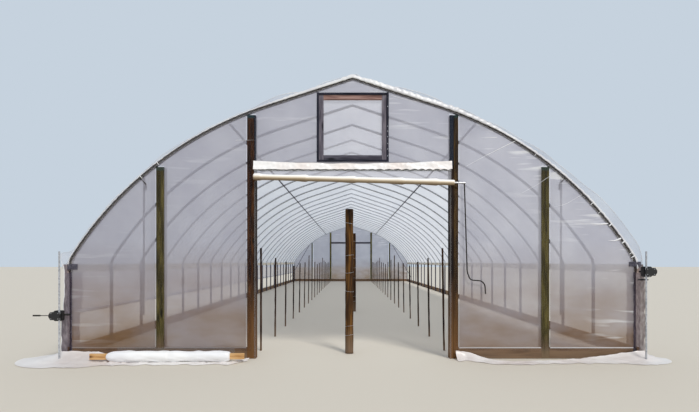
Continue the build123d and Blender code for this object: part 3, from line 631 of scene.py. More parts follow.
# %% Where the end film touches the frame, and where it is creased
def end_wall_marks(tree, coords):
    """Shares over an end wall: where film lies on a post or a tube, where it is creased and gets a
    painted highlight, how far up soil and a painted shade darken it, and how far to the sunny
    right a point lies, which sets a painted shade on the left.

    They come from the wall's own sizes: the posts stand at set distances from the middle, and the
    bow's outline is its rafter near the ridge, then its arc, then its leg.
    """
    place = add(tree, "ShaderNodeSeparateXYZ", {0: coords}).outputs
    height = place["Z"]
    out = add(tree, "ShaderNodeMath", {0: place["X"]}, operation="ABSOLUTE").outputs[0]
    spoke = add(tree, "ShaderNodeCombineXYZ", {"X": out, "Z": height}).outputs[0]
    centre = {0: spoke, 1: (ARC_X, 0, ARC_Z)}
    centre = add(tree, "ShaderNodeVectorMath", centre, operation="DISTANCE").outputs["Value"]
    run = {0: spoke, 1: (sin(RIDGE_SLOPE), 0, cos(RIDGE_SLOPE))}
    run = add(tree, "ShaderNodeVectorMath", run, operation="DOT_PRODUCT").outputs["Value"]
    roof = RIDGE * cos(RIDGE_SLOPE) + BOW_R
    arc = add(tree, "ShaderNodeMath", {0: ROOF_R + BOW_R, 1: centre}, operation="SUBTRACT")
    rafter = add(tree, "ShaderNodeMath", {0: roof, 1: run}, operation="SUBTRACT")
    leg = add(tree, "ShaderNodeMath", {0: HALF + BOW_R, 1: out}, operation="SUBTRACT")
    at_ridge = add(tree, "ShaderNodeMath", {0: out, 1: RAFTER_REACH}, operation="LESS_THAN")
    edge = {0: at_ridge.outputs[0], 2: arc.outputs[0], 3: rafter.outputs[0]}
    edge = {0: add(tree, "ShaderNodeMix", edge).outputs[0], 1: leg.outputs[0]}
    edge = add(tree, "ShaderNodeMath", edge, operation="MINIMUM").outputs[0]
    drawn = {"Vector": coords, "Rotation": (0, radians(12), 0), "Scale": (1.1, 1.0, 11.0)}
    drawn = add(tree, "ShaderNodeMapping", drawn).outputs[0]
    noise = {"Vector": drawn, "Scale": 1.0, "Detail": 2.0}
    folds = add(tree, "ShaderNodeTexNoise", noise).outputs["Fac"]
    splashes = patches(tree, coords, 0.45, 3, (2.5, 1, 1))
    # Three shares carry painted light: the creases get a painted highlight, the left of the wall a
    # painted shade, and the foot a brown tint of splashed soil and painted shade.
    spans = [  # a share's name, what it follows, where it starts and ends, and its two values
        ("tube", edge, (0.045, 0.062), (1.0, 0.0)),
        ("board", height, (0.166, 0.17), (1.0, 0.0)),
        ("seam", height, (0.184, 0.188), (1.0, 0.0)),
        ("near bow", edge, (0.05, 0.9), (1.0, 0.0)),
        ("crease", folds, (0.58, 0.68), (0.0, 1.0)),
        ("sunny", place["X"], (-2.0, 3.0), (0.25, 1.0)),
        ("dust_and_shade", height, (0.3, 1.9), (0.95, 0.0)),
        ("uneven", splashes, (0.35, 0.65), (0.6, 1.1)),
    ]
    posts = {"door post": (1.642, 0.071, 3.95), "side post": (3.121, 0.0635, 3.11)}
    for post, (middle, half, top) in posts.items():
        away = add(tree, "ShaderNodeMath", {0: out, 1: middle}, operation="SUBTRACT").outputs[0]
        away = add(tree, "ShaderNodeMath", {0: away}, operation="ABSOLUTE").outputs[0]
        spans.append((post, away, (half, half + 0.02), (1.0, 0.0)))
        spans.append((post + " top", height, (top, top + 0.02), (1.0, 0.0)))
    share = {}
    for name, value, (start, end), (first, last) in spans:
        inputs = {"Value": value, "From Min": start, "From Max": end}
        inputs.update({"To Min": first, "To Max": last})
        share[name] = add(tree, "ShaderNodeMapRange", inputs).outputs[0]
    steps = [(post, post + " top", "MULTIPLY") for post in posts]
    steps += [("tube", other, "MAXIMUM") for other in (*posts, "board")]
    steps += [("crease", "near bow", "MULTIPLY"), ("crease", "seam", "MAXIMUM")]
    steps += [("crease", "sunny", "MULTIPLY"), ("dust_and_shade", "uneven", "MULTIPLY")]
    for name, other, operation in steps:
        inputs = {0: share[name], 1: share[other]}
        share[name] = add(tree, "ShaderNodeMath", inputs, operation=operation).outputs[0]
    return share["tube"], share["crease"], share["dust_and_shade"], share["sunny"]


# %% Film materials
CLOUDS = (0.6, (1, 2, 1))  # the width of the cloudy patches in blown film, and their stretch


def film(name, tint, clear, body, back=0.45, on_wall=False, clings=None, haze=CLOUDS):
    """Milky film: part of the light passes straight through, the rest is scattered both ways.

    clear is the least and the most share that passes straight through, and back is the share of
    the rest that glows from behind. clings is a distance from the middle within which the film
    lies flat on steel and shows it.
    """
    material, tree, output, coords = new_material(name)
    haze = patches(tree, coords, haze[0], 3, haze[1])
    colour = add(tree, "ShaderNodeValToRGB", {"Fac": haze}, stops=spread(body)).outputs[0]
    through = {"Value": haze, "To Min": clear[0], "To Max": clear[1]}
    through = add(tree, "ShaderNodeMapRange", through).outputs[0]
    if on_wall:
        touch, crease_highlight, dust_and_shade, sunny = end_wall_marks(tree, coords)
        # Painted light on the end walls: a grey-violet painted shade on the left, away from the
        # sun, a brown tint of soil and painted shade toward the foot, and a near-white painted
        # highlight on the creases.
        shade = {"Value": sunny, "To Min": 0.6, "To Max": 0.0}
        shade = add(tree, "ShaderNodeMapRange", shade).outputs[0]
        for part, code in ((shade, "#A9A6B3"), (dust_and_shade, "#8C6B4B"), (crease_highlight, "#FBFBFD")):
            mix = {0: part, 6: colour, 7: linear(code)}
            colour = add(tree, "ShaderNodeMix", mix, data_type="RGBA").outputs[2]
        for part, passes in ((crease_highlight, 0.12), (touch, 0.98)):
            mix = {0: part, 2: through, 3: passes}
            through = add(tree, "ShaderNodeMix", mix).outputs[0]
    if clings:
        place = add(tree, "ShaderNodeSeparateXYZ", {0: coords}).outputs["X"]
        out = add(tree, "ShaderNodeMath", {0: place}, operation="ABSOLUTE").outputs[0]
        near = {"Value": out, "From Min": clings, "From Max": clings + 0.012}
        near.update({"To Min": 1.0, "To Max": 0.0})
        touch = add(tree, "ShaderNodeMapRange", near).outputs[0]
        through = add(tree, "ShaderNodeMix", {0: touch, 2: through, 3: 0.95}).outputs[0]
    fine = patches(tree, coords, 0.05, 4, (1, 1, 6))
    bump = add(tree, "ShaderNodeBump", {"Height": fine, "Strength": 0.25, "Distance": 0.002})
    inputs = {"Base Color": colour, "Roughness": 0.32, "IOR": 1.5, "Normal": bump.outputs[0]}
    front = add(tree, "ShaderNodeBsdfPrincipled", inputs).outputs[0]
    glow = add(tree, "ShaderNodeBsdfTranslucent", {"Color": colour}).outputs[0]
    solid = add(tree, "ShaderNodeMixShader", {0: back, 1: front, 2: glow}).outputs[0]
    straight = add(tree, "ShaderNodeBsdfTransparent", {"Color": linear(tint)}).outputs[0]
    mixed = add(tree, "ShaderNodeMixShader", {0: through, 1: solid, 2: straight})
    tree.links.new(mixed.outputs[0], output.inputs[0])
    return material


# %% The stretched films
# The roof is the thickest film: a bright even white that glows, with the bows only just showing.
roof_skin = film(
    "blown_polythene_roof_film", "#F4F5F8", (0.1, 0.12), ["#EEEEF2", "#F5F5F8"], back=0.6
)
# The end walls are duller and dusty, with splashed earth and a painted shade toward the foot, a
# painted shade on the left and painted highlights on the creases; the frame shows where they touch
# it.
wall_skin = film(
    "blown_polythene_wall_film", "#F6F4F6", (0.2, 0.3), ["#BEBECB", "#D1D1DB"], on_wall=True
)
# The side curtains, the door and the vent are thinner, so the tubes behind them show clearly.
side_skin = film("blown_polythene_side_film", "#F6F4F6", (0.38, 0.5), ["#D5D4DE", "#E6E5EC"])
# The corner strips are handled daily: dusty grey in short upright smears with painted shade, deeper
# on the left, and dark over the leg.
SMEARS = (0.04, (1, 1, 2.5))
strip_skins = {
    side: film(
        f"dusty_shaded_corner_film_{side}", "#DAD2D6", (0.12, 0.34), body, clings=clings, haze=SMEARS
    )
    for side, body, clings in (
        ("left", ["#82787F", "#998F95", "#B8AFB4"], 4.605),
        ("right", ["#8A807D", "#A29895", "#C6BEBB"], 4.645),
    )
}
print("stretched films:", roof_skin.name, wall_skin.name, side_skin.name)

# %% The loose and the bunched films
# A loose edge is one clear layer, a fold is several and hides what is behind it. Film that lies
# flat on a post is nearly invisible, and the skirts on the ground have taken up some mud.
thin_skin = film("loose_polythene_edge_film", "#F8F8FA", (0.5, 0.72), ["#DCDCE4", "#F2F2F5"])
folded_skin, jamb_skin, header_skin, skirt_skin, white_roll = (
    film(name, tint, clear, body, back=back)
    for name, tint, clear, body, back in (
        ("folded_polythene_film", "#F6F6F6", (0.02, 0.1), ["#E2E1E5", "#F8F8F8"], 0.15),
        ("clinging_polythene_edge", "#F4F4F4", (0.82, 0.97), ["#D5D5DA", "#F2F2F2"], 0.1),
        ("stapled_polythene_fold", "#F6F6F6", (0.0, 0.03), ["#F3E9E4", "#FFFFFF"], 0.0),
        ("muddy_polythene_skirt", "#EFEBE6", (0.03, 0.22), ["#E3DAD6", "#FAF7F5"], 0.05),
        ("rolled_polythene_film_white", "#F4F4F4", (0.0, 0.02), ["#E9E9EC", "#F5F5F5"], 0.0),
    )
)
print("films:", [m.name for m in bpy.data.materials if "film" in m.name or "poly" in m.name])

# %% [markdown]
# ## Moulded plastic
# The crank housings are black injection-moulded nylon with a fine spark-eroded texture, dusty on
# top. That gives them a mat, slightly grey black. Two small stubs beside them are the same.

# %% Plastic material
TEXTURE = 0.015  # coarser than a real eroded texture, so that it still shows in the picture
black_nylon = metal(
    "moulded_black_nylon", ["#101012", "#1A1A1B", "#2E2B29"], TEXTURE, (0.45, 0.65), 0.0
)
print("plastic:", black_nylon.name)

# %% [markdown]
# ## Bows, posts and purlins
# The CAD keeps the inner bows as straight chords with six sides, to stay light. Here each is the
# real bent round tube. The legs stand in wider ground posts, with a bolt through each, and two
# purlins run the length of the roof, strapped to every bow. The bows near the door have dulled in
# the weather; those further in are still bright, and are painted nearly white for the light that
# falls on them from all round.


# %% Tubes of the frame
def in_plane(line, y):
    """Points (x, z) of a line put in the plane across the tunnel at y."""
    return [(x, y, z) for x, z in line]


TUBE = "galvanised_tube"  # the record's finish for steel tube and its fittings
END_BOW = bow_line(0.0)
INNER_BOW = bow_line(0.0, hip_steps=5, roof_steps=16)
tubes("front_bow_tube", in_plane(END_BOW, FRONT), BOW_R, 24, 1, weathered_shaded_zinc, TUBE, "front_bow")
tubes("rear_bow_tube", in_plane(END_BOW, REAR), BOW_R, 16, 1, zinc, TUBE, "rear_bow")
for part, piece, first, count, material in (
    ("near", "bows_near_first_tubes", 1, 2, dull_zinc),
    ("near", "bows_near_tubes", 3, 6, zinc),
    ("middle", "bows_middle_tubes", 9, 8, sunlit_zinc),
    ("far", "bows_far_tubes", 17, 7, sunlit_zinc),
):
    line = in_plane(INNER_BOW, FRONT + BAY * first)
    tubes(piece, line, BOW_R, 14, count, material, TUBE, f"bows_{part}")
for side, sign in SIDES:
    line = [(sign * HALF, FRONT, 0.0), (sign * HALF, FRONT, POST_TOP)]
    name = f"ground_posts_{side}"
    tubes(name + "_tubes", line, POST_R, 20, BAYS + 1, weathered_shaded_zinc, TUBE, name)

# %% Purlins, their straps, and the bolts of the posts
PURLIN_R = 0.019
low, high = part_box("purlins")
purlin_x, purlin_z = high[0] - PURLIN_R, (low[2] + high[2]) / 2
points, straps, bolts = [], [], {"left": [], "right": []}
for side, sign in SIDES:
    points += [(sign * purlin_x, y, purlin_z) for y in (low[1], high[1])]
    for i in range(BAYS + 1):
        y = FRONT + BAY * i
        straps.append((sign * purlin_x, y, purlin_z))
        bolt_x = sign * (HALF - POST_R - 0.004)
        bolts[side] += [(bolt_x, y, z) for z in (LEG_FOOT + 0.06, POST_TOP - 0.05)]
ends = [(0, 1), (2, 3)]
tubes("purlin_tubes", points, PURLIN_R, 18, 1, weathered_shaded_zinc, TUBE, "purlins", edges=ends)
ALONG_Y, ALONG_X = (pi / 2, 0, 0), (0, pi / 2, 0)  # turns that lay a fitting's Z along an axis
STRAP = {"radius": PURLIN_R + 0.002, "length": 0.05, "sides": 18, "turn": ALONG_Y}
BOLT = {"radius": 0.0095, "length": 0.009, "sides": 6, "turn": ALONG_X}
fittings("purlin_straps", straps, zinc, TUBE, **STRAP)
for side, points in bolts.items():
    fittings(f"post_bolts_{side}", points, zinc, TUBE, **BOLT)

# %% [markdown]
# ## Film channels and their wire
# Each end film is pressed into an open aluminium channel that follows the end bow. The channel
# is a C section, so it is swept here by moving the bow's line outwards for every corner of the
# section. The zigzag wire lies in its mouth, over the film, and shows as a row of dashes.

# %% Lock channels and wire on the end bows
C_SECTION = [
    (-18.0, 0.0), (18.0, 0.0), (18.0, 13.0), (12.5, 13.0), (12.5, 11.4), (16.5, 11.4),
    (16.5, 1.5), (-16.5, 1.5), (-16.5, 11.4), (-12.5, 11.4), (-12.5, 13.0), (-18.0, 13.0),
]
BACK = BOW_R + GAP  # the channel's back plate lies against the bow
WIRE_OUT = 0.0062  # how far the wire stands in front of the end wall's face
BOW_WIRE = {"pitch": 0.085, "swing": 0.013, "radius": 0.003, "steps": 8}


def along_bow(section, y_sign, y_bow, foot):
    """Rows of points that follow a bow: one row for each (offset, distance in front) in mm."""
    rows = []
    for offset, out in section:
        line = bow_line(offset / 1000, foot)
        y = y_bow - y_sign * (BACK + out / 1000)
        rows.append(np.column_stack([line[:, 0], np.full(len(line), y), line[:, 1]]))
    return np.array(rows)


for end, y_bow, y_sign in (("front", FRONT, 1), ("rear", REAR, -1)):
    section = C_SECTION if y_sign > 0 else C_SECTION[::-1]
    rows = along_bow(section + section[:1], y_sign, y_bow, POST_TOP + GAP)
    channel = new_object(f"{end}_lock_channel_profile", grid_mesh(end, [rows], smooth=False))
    finish_piece(channel, aluminium, "aluminium_channel", f"{end}_lock_channel")
    line = in_plane(bow_line(0.0, POST_TOP), y_bow - y_sign * (FACE + WIRE_OUT))
    spring_wire(f"{end}_bow_wire", line, (0, 1, 0), **BOW_WIRE)

# %% Wire in the channels on the hip boards
HIP_WIRE = {"pitch": 0.1, "swing": 0.012, "radius": 0.0021, "steps": 6}
hip_x, hip_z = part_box("hip_channels")[1][0] + 0.0022, HIP_TOP - 0.0183
for side, sign in SIDES:
    line = [(sign * hip_x, y, hip_z) for y in (FRONT - FACE, REAR + FACE)]
    spring_wire(f"hip_wire_{side}", line, (1, 0, 0), **HIP_WIRE)

# %% [markdown]
# ## The roof film
# One wide sheet is drawn over all the bows. It touches each bow, and between two bows it sinks
# a centimetre under its own tension and weight, which shows as broad soft scallops. The sheet
# follows a rule along both ways, so it is a grid of points from the film's line, eight steps to a
# bay, with a slow ripple on top.


# %% Roof film
def film_sheet(name, mesh, material, flat, nodes=(), area=None):
    """Puts a sheet of film in the scene and says what size it was cut to."""
    piece = finish_piece(new_object(name, mesh), material, "white_film", *nodes)
    measured = sum(face.area for face in mesh.polygons)
    print(name, "area", round(measured, 2), "flat", round(area or flat[0] * flat[1], 2))
    return piece


def cut_area(mesh):
    """The area that a sheet was cut to, where its outline isn't a rectangle: what the mesh
    measures, and three percent more that its small folds take up."""
    return round(sum(face.area for face in mesh.polygons) / 0.97, 2)


BAY_STEPS = 8
SAG = 0.012  # how far the film sinks between two bows
line = film_line(FILM / 2)
sunk_line = film_line(FILM / 2 - SAG)
film_y0, film_y1 = FRONT - FACE - FILM, REAR + FACE + FILM
bay_marks = FRONT + BAY * np.arange(BAYS * BAY_STEPS + 1) / BAY_STEPS
ys = np.concatenate([[film_y0], bay_marks, [film_y1]])
in_bay = ((ys - FRONT) / BAY) % 1.0
sink = np.sin(pi * in_bay) ** 2 * ((ys > FRONT) & (ys < REAR))
column = np.arange(len(line))
free = np.clip(np.minimum(column, len(line) - 1 - column) / 5.0 - 0.6, 0, 1)
depth = sink[:, None] * free[None, :]
wobble = ripples(ys[:, None], column[None, :] * 0.15, 0.8, 0.2, 4)
share = np.clip(depth * (0.85 + wobble), 0, 1.2)[:, :, None]
flat_rows = line[None, :, :] + (sunk_line - line)[None, :, :] * share
roof = np.empty((len(ys), len(line), 3))
roof[:, :, 0], roof[:, :, 2] = flat_rows[:, :, 0], flat_rows[:, :, 1]
roof[:, :, 1] = ys[:, None]
lengths = np.hypot(*np.diff(line, axis=0).T)
ROOF_CUT = (round(float(lengths.sum()), 2), round(film_y1 - film_y0, 2))
film_sheet(
    "roof_film_sheet", grid_mesh("roof", [roof]), roof_skin, ROOF_CUT,
    ["roof_film"],
)

# %% [markdown]
# ## The end films
# The film of the front wall is stretched from the bow to the door posts, and stapled at the foot.
# It is nearly flat, but short creases run in from the bow where the wire pinches it, and these
# catch the light, helped by a painted highlight in the wall film. Each sheet is a grid whose rows
# run level from the post to the bow's outline.
# The creases are ripples that fade away from that edge.

# %% Creases near an edge, and the rows of a wall
SMOOTH = {"hip_steps": 24, "roof_steps": 80}  # a line that is fine enough to measure on
OUTLINE = np.array(half_bow(BOW_R, 0.0, **SMOOTH))
HEM = 0.13  # the film of an end wall ends on its baseboard
SPLIT = DOOR_HALF + 0.07  # the side films and the gable film meet on the door posts
FILM_OUT = FACE + GAP + FILM / 2  # from an end bow's centre to the middle of the wall film


def creases(x, z, edge, seed, height=0.006, fade=0.3):
    """How far the film stands out: short creases near an edge, and broad slow ones elsewhere."""
    short = ripples(z, x, 0.16, 1.0, seed, 0.35)
    broad = ripples(x, z, 0.9, 0.0016, seed + 1, 0.9)
    return np.clip(short, -0.4, 1.6) * height * np.exp(-edge / fade) + np.abs(broad) + 0.0004


def wall_grid(inner, seed, rows=84, columns=60, height=0.006):
    """Level rows from x = inner out to the bow's outline, from the hem to where they meet."""
    top = float(np.interp(inner, OUTLINE[::-1, 0], OUTLINE[::-1, 1]))
    z = HEM + (top - HEM) * (1 - (1 - np.linspace(0, 1, rows)) ** 1.25)
    reach = np.interp(z, OUTLINE[:, 1], OUTLINE[:, 0])
    reach[-1] = inner
    k = np.linspace(0, 1, columns) ** 0.8
    x = inner + (reach[:, None] - inner) * k[None, :]
    z = np.repeat(z[:, None], columns, axis=1)
    out = creases(x, z, reach[:, None] - x, seed, height)
    return x, z, out


print("the end wall's film starts", SPLIT, "m from the middle")

# %% The front films beside the door
for side, sign, seed, height in (("left", -1, 11, 0.004), ("right", 1, 23, 0.009)):
    x, z, out = wall_grid(SPLIT, seed, height=height)
    points = np.stack([sign * x, FRONT - FILM_OUT - out, z], axis=2)
    mesh = grid_mesh(side, [points if sign > 0 else points[:, ::-1]])
    film_sheet(
        f"front_film_{side}_sheet", mesh, wall_skin, (2.96, 3.94),
        [f"front_film_{side}"],
        area=8.6,
    )

# %% Gable film, with its opening for the vent
vent_low, vent_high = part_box("vent_surround")
VENT_HALF, VENT_LOW, VENT_HIGH = vent_high[0], vent_low[2], vent_high[2]
gable_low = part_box("gable_film")[0][2]


def gable_patch(x0, x1, columns, z0, z1, rows):
    """A patch of the gable between two x values; z0 and z1 are heights or None for the bow."""
    x = np.linspace(x0, x1, columns)
    top = np.interp(np.abs(x), OUTLINE[::-1, 0], OUTLINE[::-1, 1])
    high = top if z1 is None else np.full(columns, z1)
    z = z0 + (high - z0)[None, :] * np.linspace(0, 1, rows)[:, None]
    x = np.repeat(x[None, :], rows, axis=0)
    out = creases(x, z, top[None, :] - z, seed=31, height=0.004, fade=0.2)
    return np.stack([x, FRONT - FILM_OUT - out, z], axis=2)


gable = [
    gable_patch(-SPLIT, -VENT_HALF, 20, gable_low, None, 24),
    gable_patch(-VENT_HALF, VENT_HALF, 22, gable_low, VENT_LOW, 3),
    gable_patch(-VENT_HALF, VENT_HALF, 22, VENT_HIGH, None, 8),
    gable_patch(VENT_HALF, SPLIT, 20, gable_low, None, 24),
]
film_sheet(
    "gable_film_sheet", grid_mesh("gable", gable), wall_skin, (3.28, 1.48),
    ["gable_film"], area=2.7,
)

# %% Rear film
x, z, out = wall_grid(0.0, 41, rows=90, columns=70)
right = np.stack([x, REAR + FILM_OUT + out, z], axis=2)
left = right * (-1, 1, 1)
mesh = grid_mesh("rear", [right[:, ::-1], left])
film_sheet(
    "rear_film_sheet", mesh, wall_skin, (9.2, 4.47),
    ["rear_film"], area=32.6,
)

# %% [markdown]
# ## Where the roof film ends
# The roof film is longer than the tunnel. At the front its end is folded over the bow under the
# spring wire, and the surplus stands up in the wind: a thin clear flap, higher on the right. The
# fold is a bunched strip with many layers, so it is whiter. Both follow the bow, so each is a
# set of rows on the bow's line whose offset and reach vary along it.

# %% The line that the fold and the flap follow
FINE = {"hip_steps": 14, "roof_steps": 150, "rafter_steps": 44}
EDGE_FOOT = HIP_TOP - 0.07
EDGE = bow_line(0.0, EDGE_FOOT, **FINE)
EDGE_OUT = (bow_line(0.01, EDGE_FOOT, **FINE) - EDGE) / 0.01  # outwards, one metre long
EDGE_S = np.concatenate([[0], np.cumsum(np.hypot(*np.diff(EDGE, axis=0).T))])
EDGE_S -= EDGE_S.max() / 2  # distance along the bow from the ridge, + to the left
EDGE_LENGTH = round(float(EDGE_S.max() - EDGE_S.min()), 2)
TUBE_TOP = 0.0295  # from the bow's centre to the top of the roof film


def edge_row(offset, out):
    """Points beside the front bow, moved outwards by offset and to the front by out."""
    offset = np.broadcast_to(offset, EDGE_S.shape)
    out = np.broadcast_to(out, EDGE_S.shape)
    plane = EDGE + EDGE_OUT * offset[:, None]
    return np.column_stack([plane[:, 0], FRONT - out, plane[:, 1]])


def on_edge(marks):
    """A value that changes along the bow: (x from the middle, value) marks, joined smoothly."""
    at = np.array(marks)
    value = np.interp(EDGE[:, 0], at[:, 0], at[:, 1])
    return np.convolve(np.pad(value, 1, mode="edge"), (0.25, 0.5, 0.25), mode="valid")


def edge_sheet(name, rows, material, width):
    """A strip of film along the bow, made of rows of points."""
    mesh = grid_mesh(name, [np.array(rows)])
    cut = (width, EDGE_LENGTH)
    return film_sheet(name, mesh, material, cut, area=cut_area(mesh))


print("the roof film's front edge is", EDGE_LENGTH, "m long")

# %% Front fold
# HEM_RISE is how high the bunched hem stands on the tube, and COVER how far above the tube's
# middle its edge ends in front, both in metres at an x from the middle.
HEM_RISE = [
    (-4.6, 0.012), (-4.3, 0.006), (-2.5, 0.008), (-1.6, 0.01), (-1.2, 0.02), (-0.4, 0.03),
    (0.0, 0.036), (0.5, 0.045), (1.5, 0.045), (2.2, 0.036), (2.6, 0.022), (4.3, 0.018),
    (4.6, 0.02),
]
COVER = [
    (-4.6, 0.018), (-1.8, 0.018), (-1.3, 0.012), (-0.4, 0.008), (0.0, 0.004), (0.5, 0.0),
    (2.1, 0.002), (2.4, 0.014), (4.6, 0.014),
]
FOLD_SECTION = [  # offset from the tube's centre (None: the cover), share of the rise, reach
    (0.0275, 0.0, -0.02), (0.029, 0.45, -0.012), (0.030, 0.9, 0.004), (0.030, 1.0, 0.02),
    (0.029, 0.95, 0.036), (0.027, 0.6, 0.047), (0.024, 0.0, 0.053), (None, 0.0, 0.055),
    (None, 0.0, 0.046),
]
s, level, last = EDGE_S, EDGE_S * 0, len(FOLD_SECTION) - 1
hem, cover = on_edge(HEM_RISE), on_edge(COVER)
pleats = np.abs(ripples(s, level, 0.17, 1.0, 51, 0.1))
rows = []
for i, (offset, lift, out) in enumerate(FOLD_SECTION):
    base = cover + (0.006 if i == last else 0.0) if offset is None else offset
    bulge = pleats * (0.0015 + hem * 0.15) * (1 if 0 < i < last else 0)
    wave = ripples(s, level + i * 0.03, 0.1, 0.003, 52, 0.6) * (1 if i > 2 else 0)
    rows.append(edge_row(base + hem * lift + bulge * (lift > 0) + wave, out + bulge))
edge_sheet(
    "roof_film_front_fold", rows, folded_skin, 0.15
)

# %% Loose flap and its edge
FLAP_RISE = [  # the flap's height above the tube, at an x from the middle
    (-4.572, 0.1), (-4.565, 0.13), (-4.545, 0.155), (-4.525, 0.09), (-4.51, 0.05), (-4.46, 0.02),
    (-4.0, 0.018), (-3.3, 0.022), (-3.05, 0.045), (-2.9, 0.028), (-2.4, 0.02), (-1.6, 0.026),
    (-1.45, 0.055), (-1.2, 0.078), (-0.95, 0.05), (-0.85, 0.02), (-0.6, 0.02), (-0.45, 0.06),
    (-0.2, 0.05), (-0.05, 0.02), (0.02, 0.02), (0.075, 0.085), (0.13, 0.03), (0.3, 0.065),
    (0.45, 0.03), (0.6, 0.035), (0.75, 0.075), (1.1, 0.088), (1.4, 0.07), (1.5, 0.04),
    (1.7, 0.055), (2.2, 0.05), (2.7, 0.06), (3.1, 0.082), (3.5, 0.09), (3.7, 0.11), (4.0, 0.138),
    (4.3, 0.155), (4.48, 0.155), (4.54, 0.125), (4.572, 0.1),
]
FLAP_LEAN = 0.03  # how far the flap's free edge leans to the front
height = on_edge(FLAP_RISE) * (1 + ripples(s, level, 1.5, 0.05, 61, 0.1))
rows = []
for k in np.linspace(0, 1, 9):
    flutter = ripples(s, level + k * 0.25, 0.6, 0.014, 63, 0.5) * k
    rows.append(edge_row(TUBE_TOP + height * k, FLAP_LEAN * k + flutter))
edge_sheet("roof_film_front_flap", rows, thin_skin, 0.16)
curl = 0.0016 + 0.0022 * pleats
lip = [
    edge_row(TUBE_TOP + height + curl * sin(turn), FLAP_LEAN + flutter + 0.004 + curl * cos(turn))
    for turn in np.linspace(-0.5 * pi, 1.1 * pi, 7)
]
edge_sheet("roof_film_flap_edge", lip, folded_skin, 0.02)


# %% Folds that the wire pulls into the wall film
def pulled_fold(points, widest, out=0.005, taper=0.8):
    """A fold of film along a line of (x, z) points, widest at its start and ending in a point."""
    at = np.linspace(0, 1, len(points))
    k = np.linspace(0, 1, 26)
    line = np.column_stack([np.interp(k, at, np.array(points)[:, i]) for i in (0, 1)])
    for _ in range(4):
        line[1:-1] = (line[:-2] + 2 * line[1:-1] + line[2:]) / 4
    step = np.gradient(line, axis=0)
    normal = np.column_stack([-step[:, 1], step[:, 0]]) / np.hypot(step[:, 0], step[:, 1])[:, None]
    width = widest * np.minimum(1, k * 8 + 0.3) * (1 - k) ** taper + 0.0002
    rows = []
    for turn in np.linspace(0, 2 * pi, 11):
        reach = line + normal * (width * cos(turn))[:, None]
        y = FRONT - FACE - out - width * sin(turn)
        rows.append(np.column_stack([reach[:, 0], y, reach[:, 1]]))
    rows[-1] = rows[0]
    return np.array(rows)


def across_edge(x, low, high):
    """Two points (x, z) on the front bow at x, moved outwards by low and by high."""
    i = int(np.argmin(np.abs(EDGE[:, 0] - x) + (EDGE[:, 1] < LEG_TOP)))
    return [tuple(EDGE[i] + EDGE_OUT[i] * offset) for offset in (low, high)]


KNOTS = [  # where film is bunched across the tube: x from the middle, and the knot's half width
    (-3.43, 0.006), (-3.15, 0.008), (2.95, 0.006), (3.86, 0.009), (3.995, 0.005), (4.165, 0.015),
    (4.37, 0.017), (4.5, 0.007), (4.53, 0.013),
]
PULLS = [  # where a fold runs in from the bow: its line, and its half width
    ([(4.13, 2.187), (3.98, 2.172), (3.845, 2.19)], 0.014),
    ([(4.345, 1.95), (4.24, 1.906), (4.12, 1.915)], 0.017),
    ([(2.67, 3.54), (2.2, 3.31), (1.74, 3.06)], 0.006),
    ([(2.34, 3.58), (2.06, 3.573)], 0.005),
    ([(3.3, 3.03), (2.98, 2.81), (2.62, 2.62)], 0.003),
    ([(3.72, 2.66), (3.45, 2.5), (3.2, 2.44)], 0.003),
    ([(0.62, 4.26), (0.86, 4.19), (1.12, 4.15)], 0.003),
    ([(-1.9, 3.533), (-1.6, 3.536)], 0.003),
]
ABOVE, BELOW = 0.034, -0.036  # a knot runs from above the tube to below it
grids = [
    pulled_fold(across_edge(x, ABOVE, BELOW), widest, out=0.013, taper=0.35) for x, widest in KNOTS
]
grids += [pulled_fold(points, widest) for points, widest in PULLS]
piece = new_object("film_pulls_and_knots", grid_mesh("pulls", grids, closed=True))
finish_piece(piece, white_roll, "rolled_film")
print("knots and pulls:", len(grids))

# %% [markdown]
# ## Side curtains and corners
# Each long side is a curtain of the same film, fixed in a channel on the hip board and rolled
# up from below on a steel tube. The right one is rolled right up, the left one hangs half way.
# At the corners a separate strip of film closes the end, wrinkled where it is pulled round. It
# bags outward where it is loose, and on the left its free edge is turned back in a narrow fold.

# %% Side curtains and their rolls
def roll_grids(rows, centres):
    """A roll's rows of points, closed along their seam and capped at both ends."""
    rows[-1] = rows[0]
    rows = np.array(rows)
    caps = [np.array([[centre] * len(rows), rows[:, i]]) for i, centre in zip((0, -1), centres)]
    return [rows, *caps]


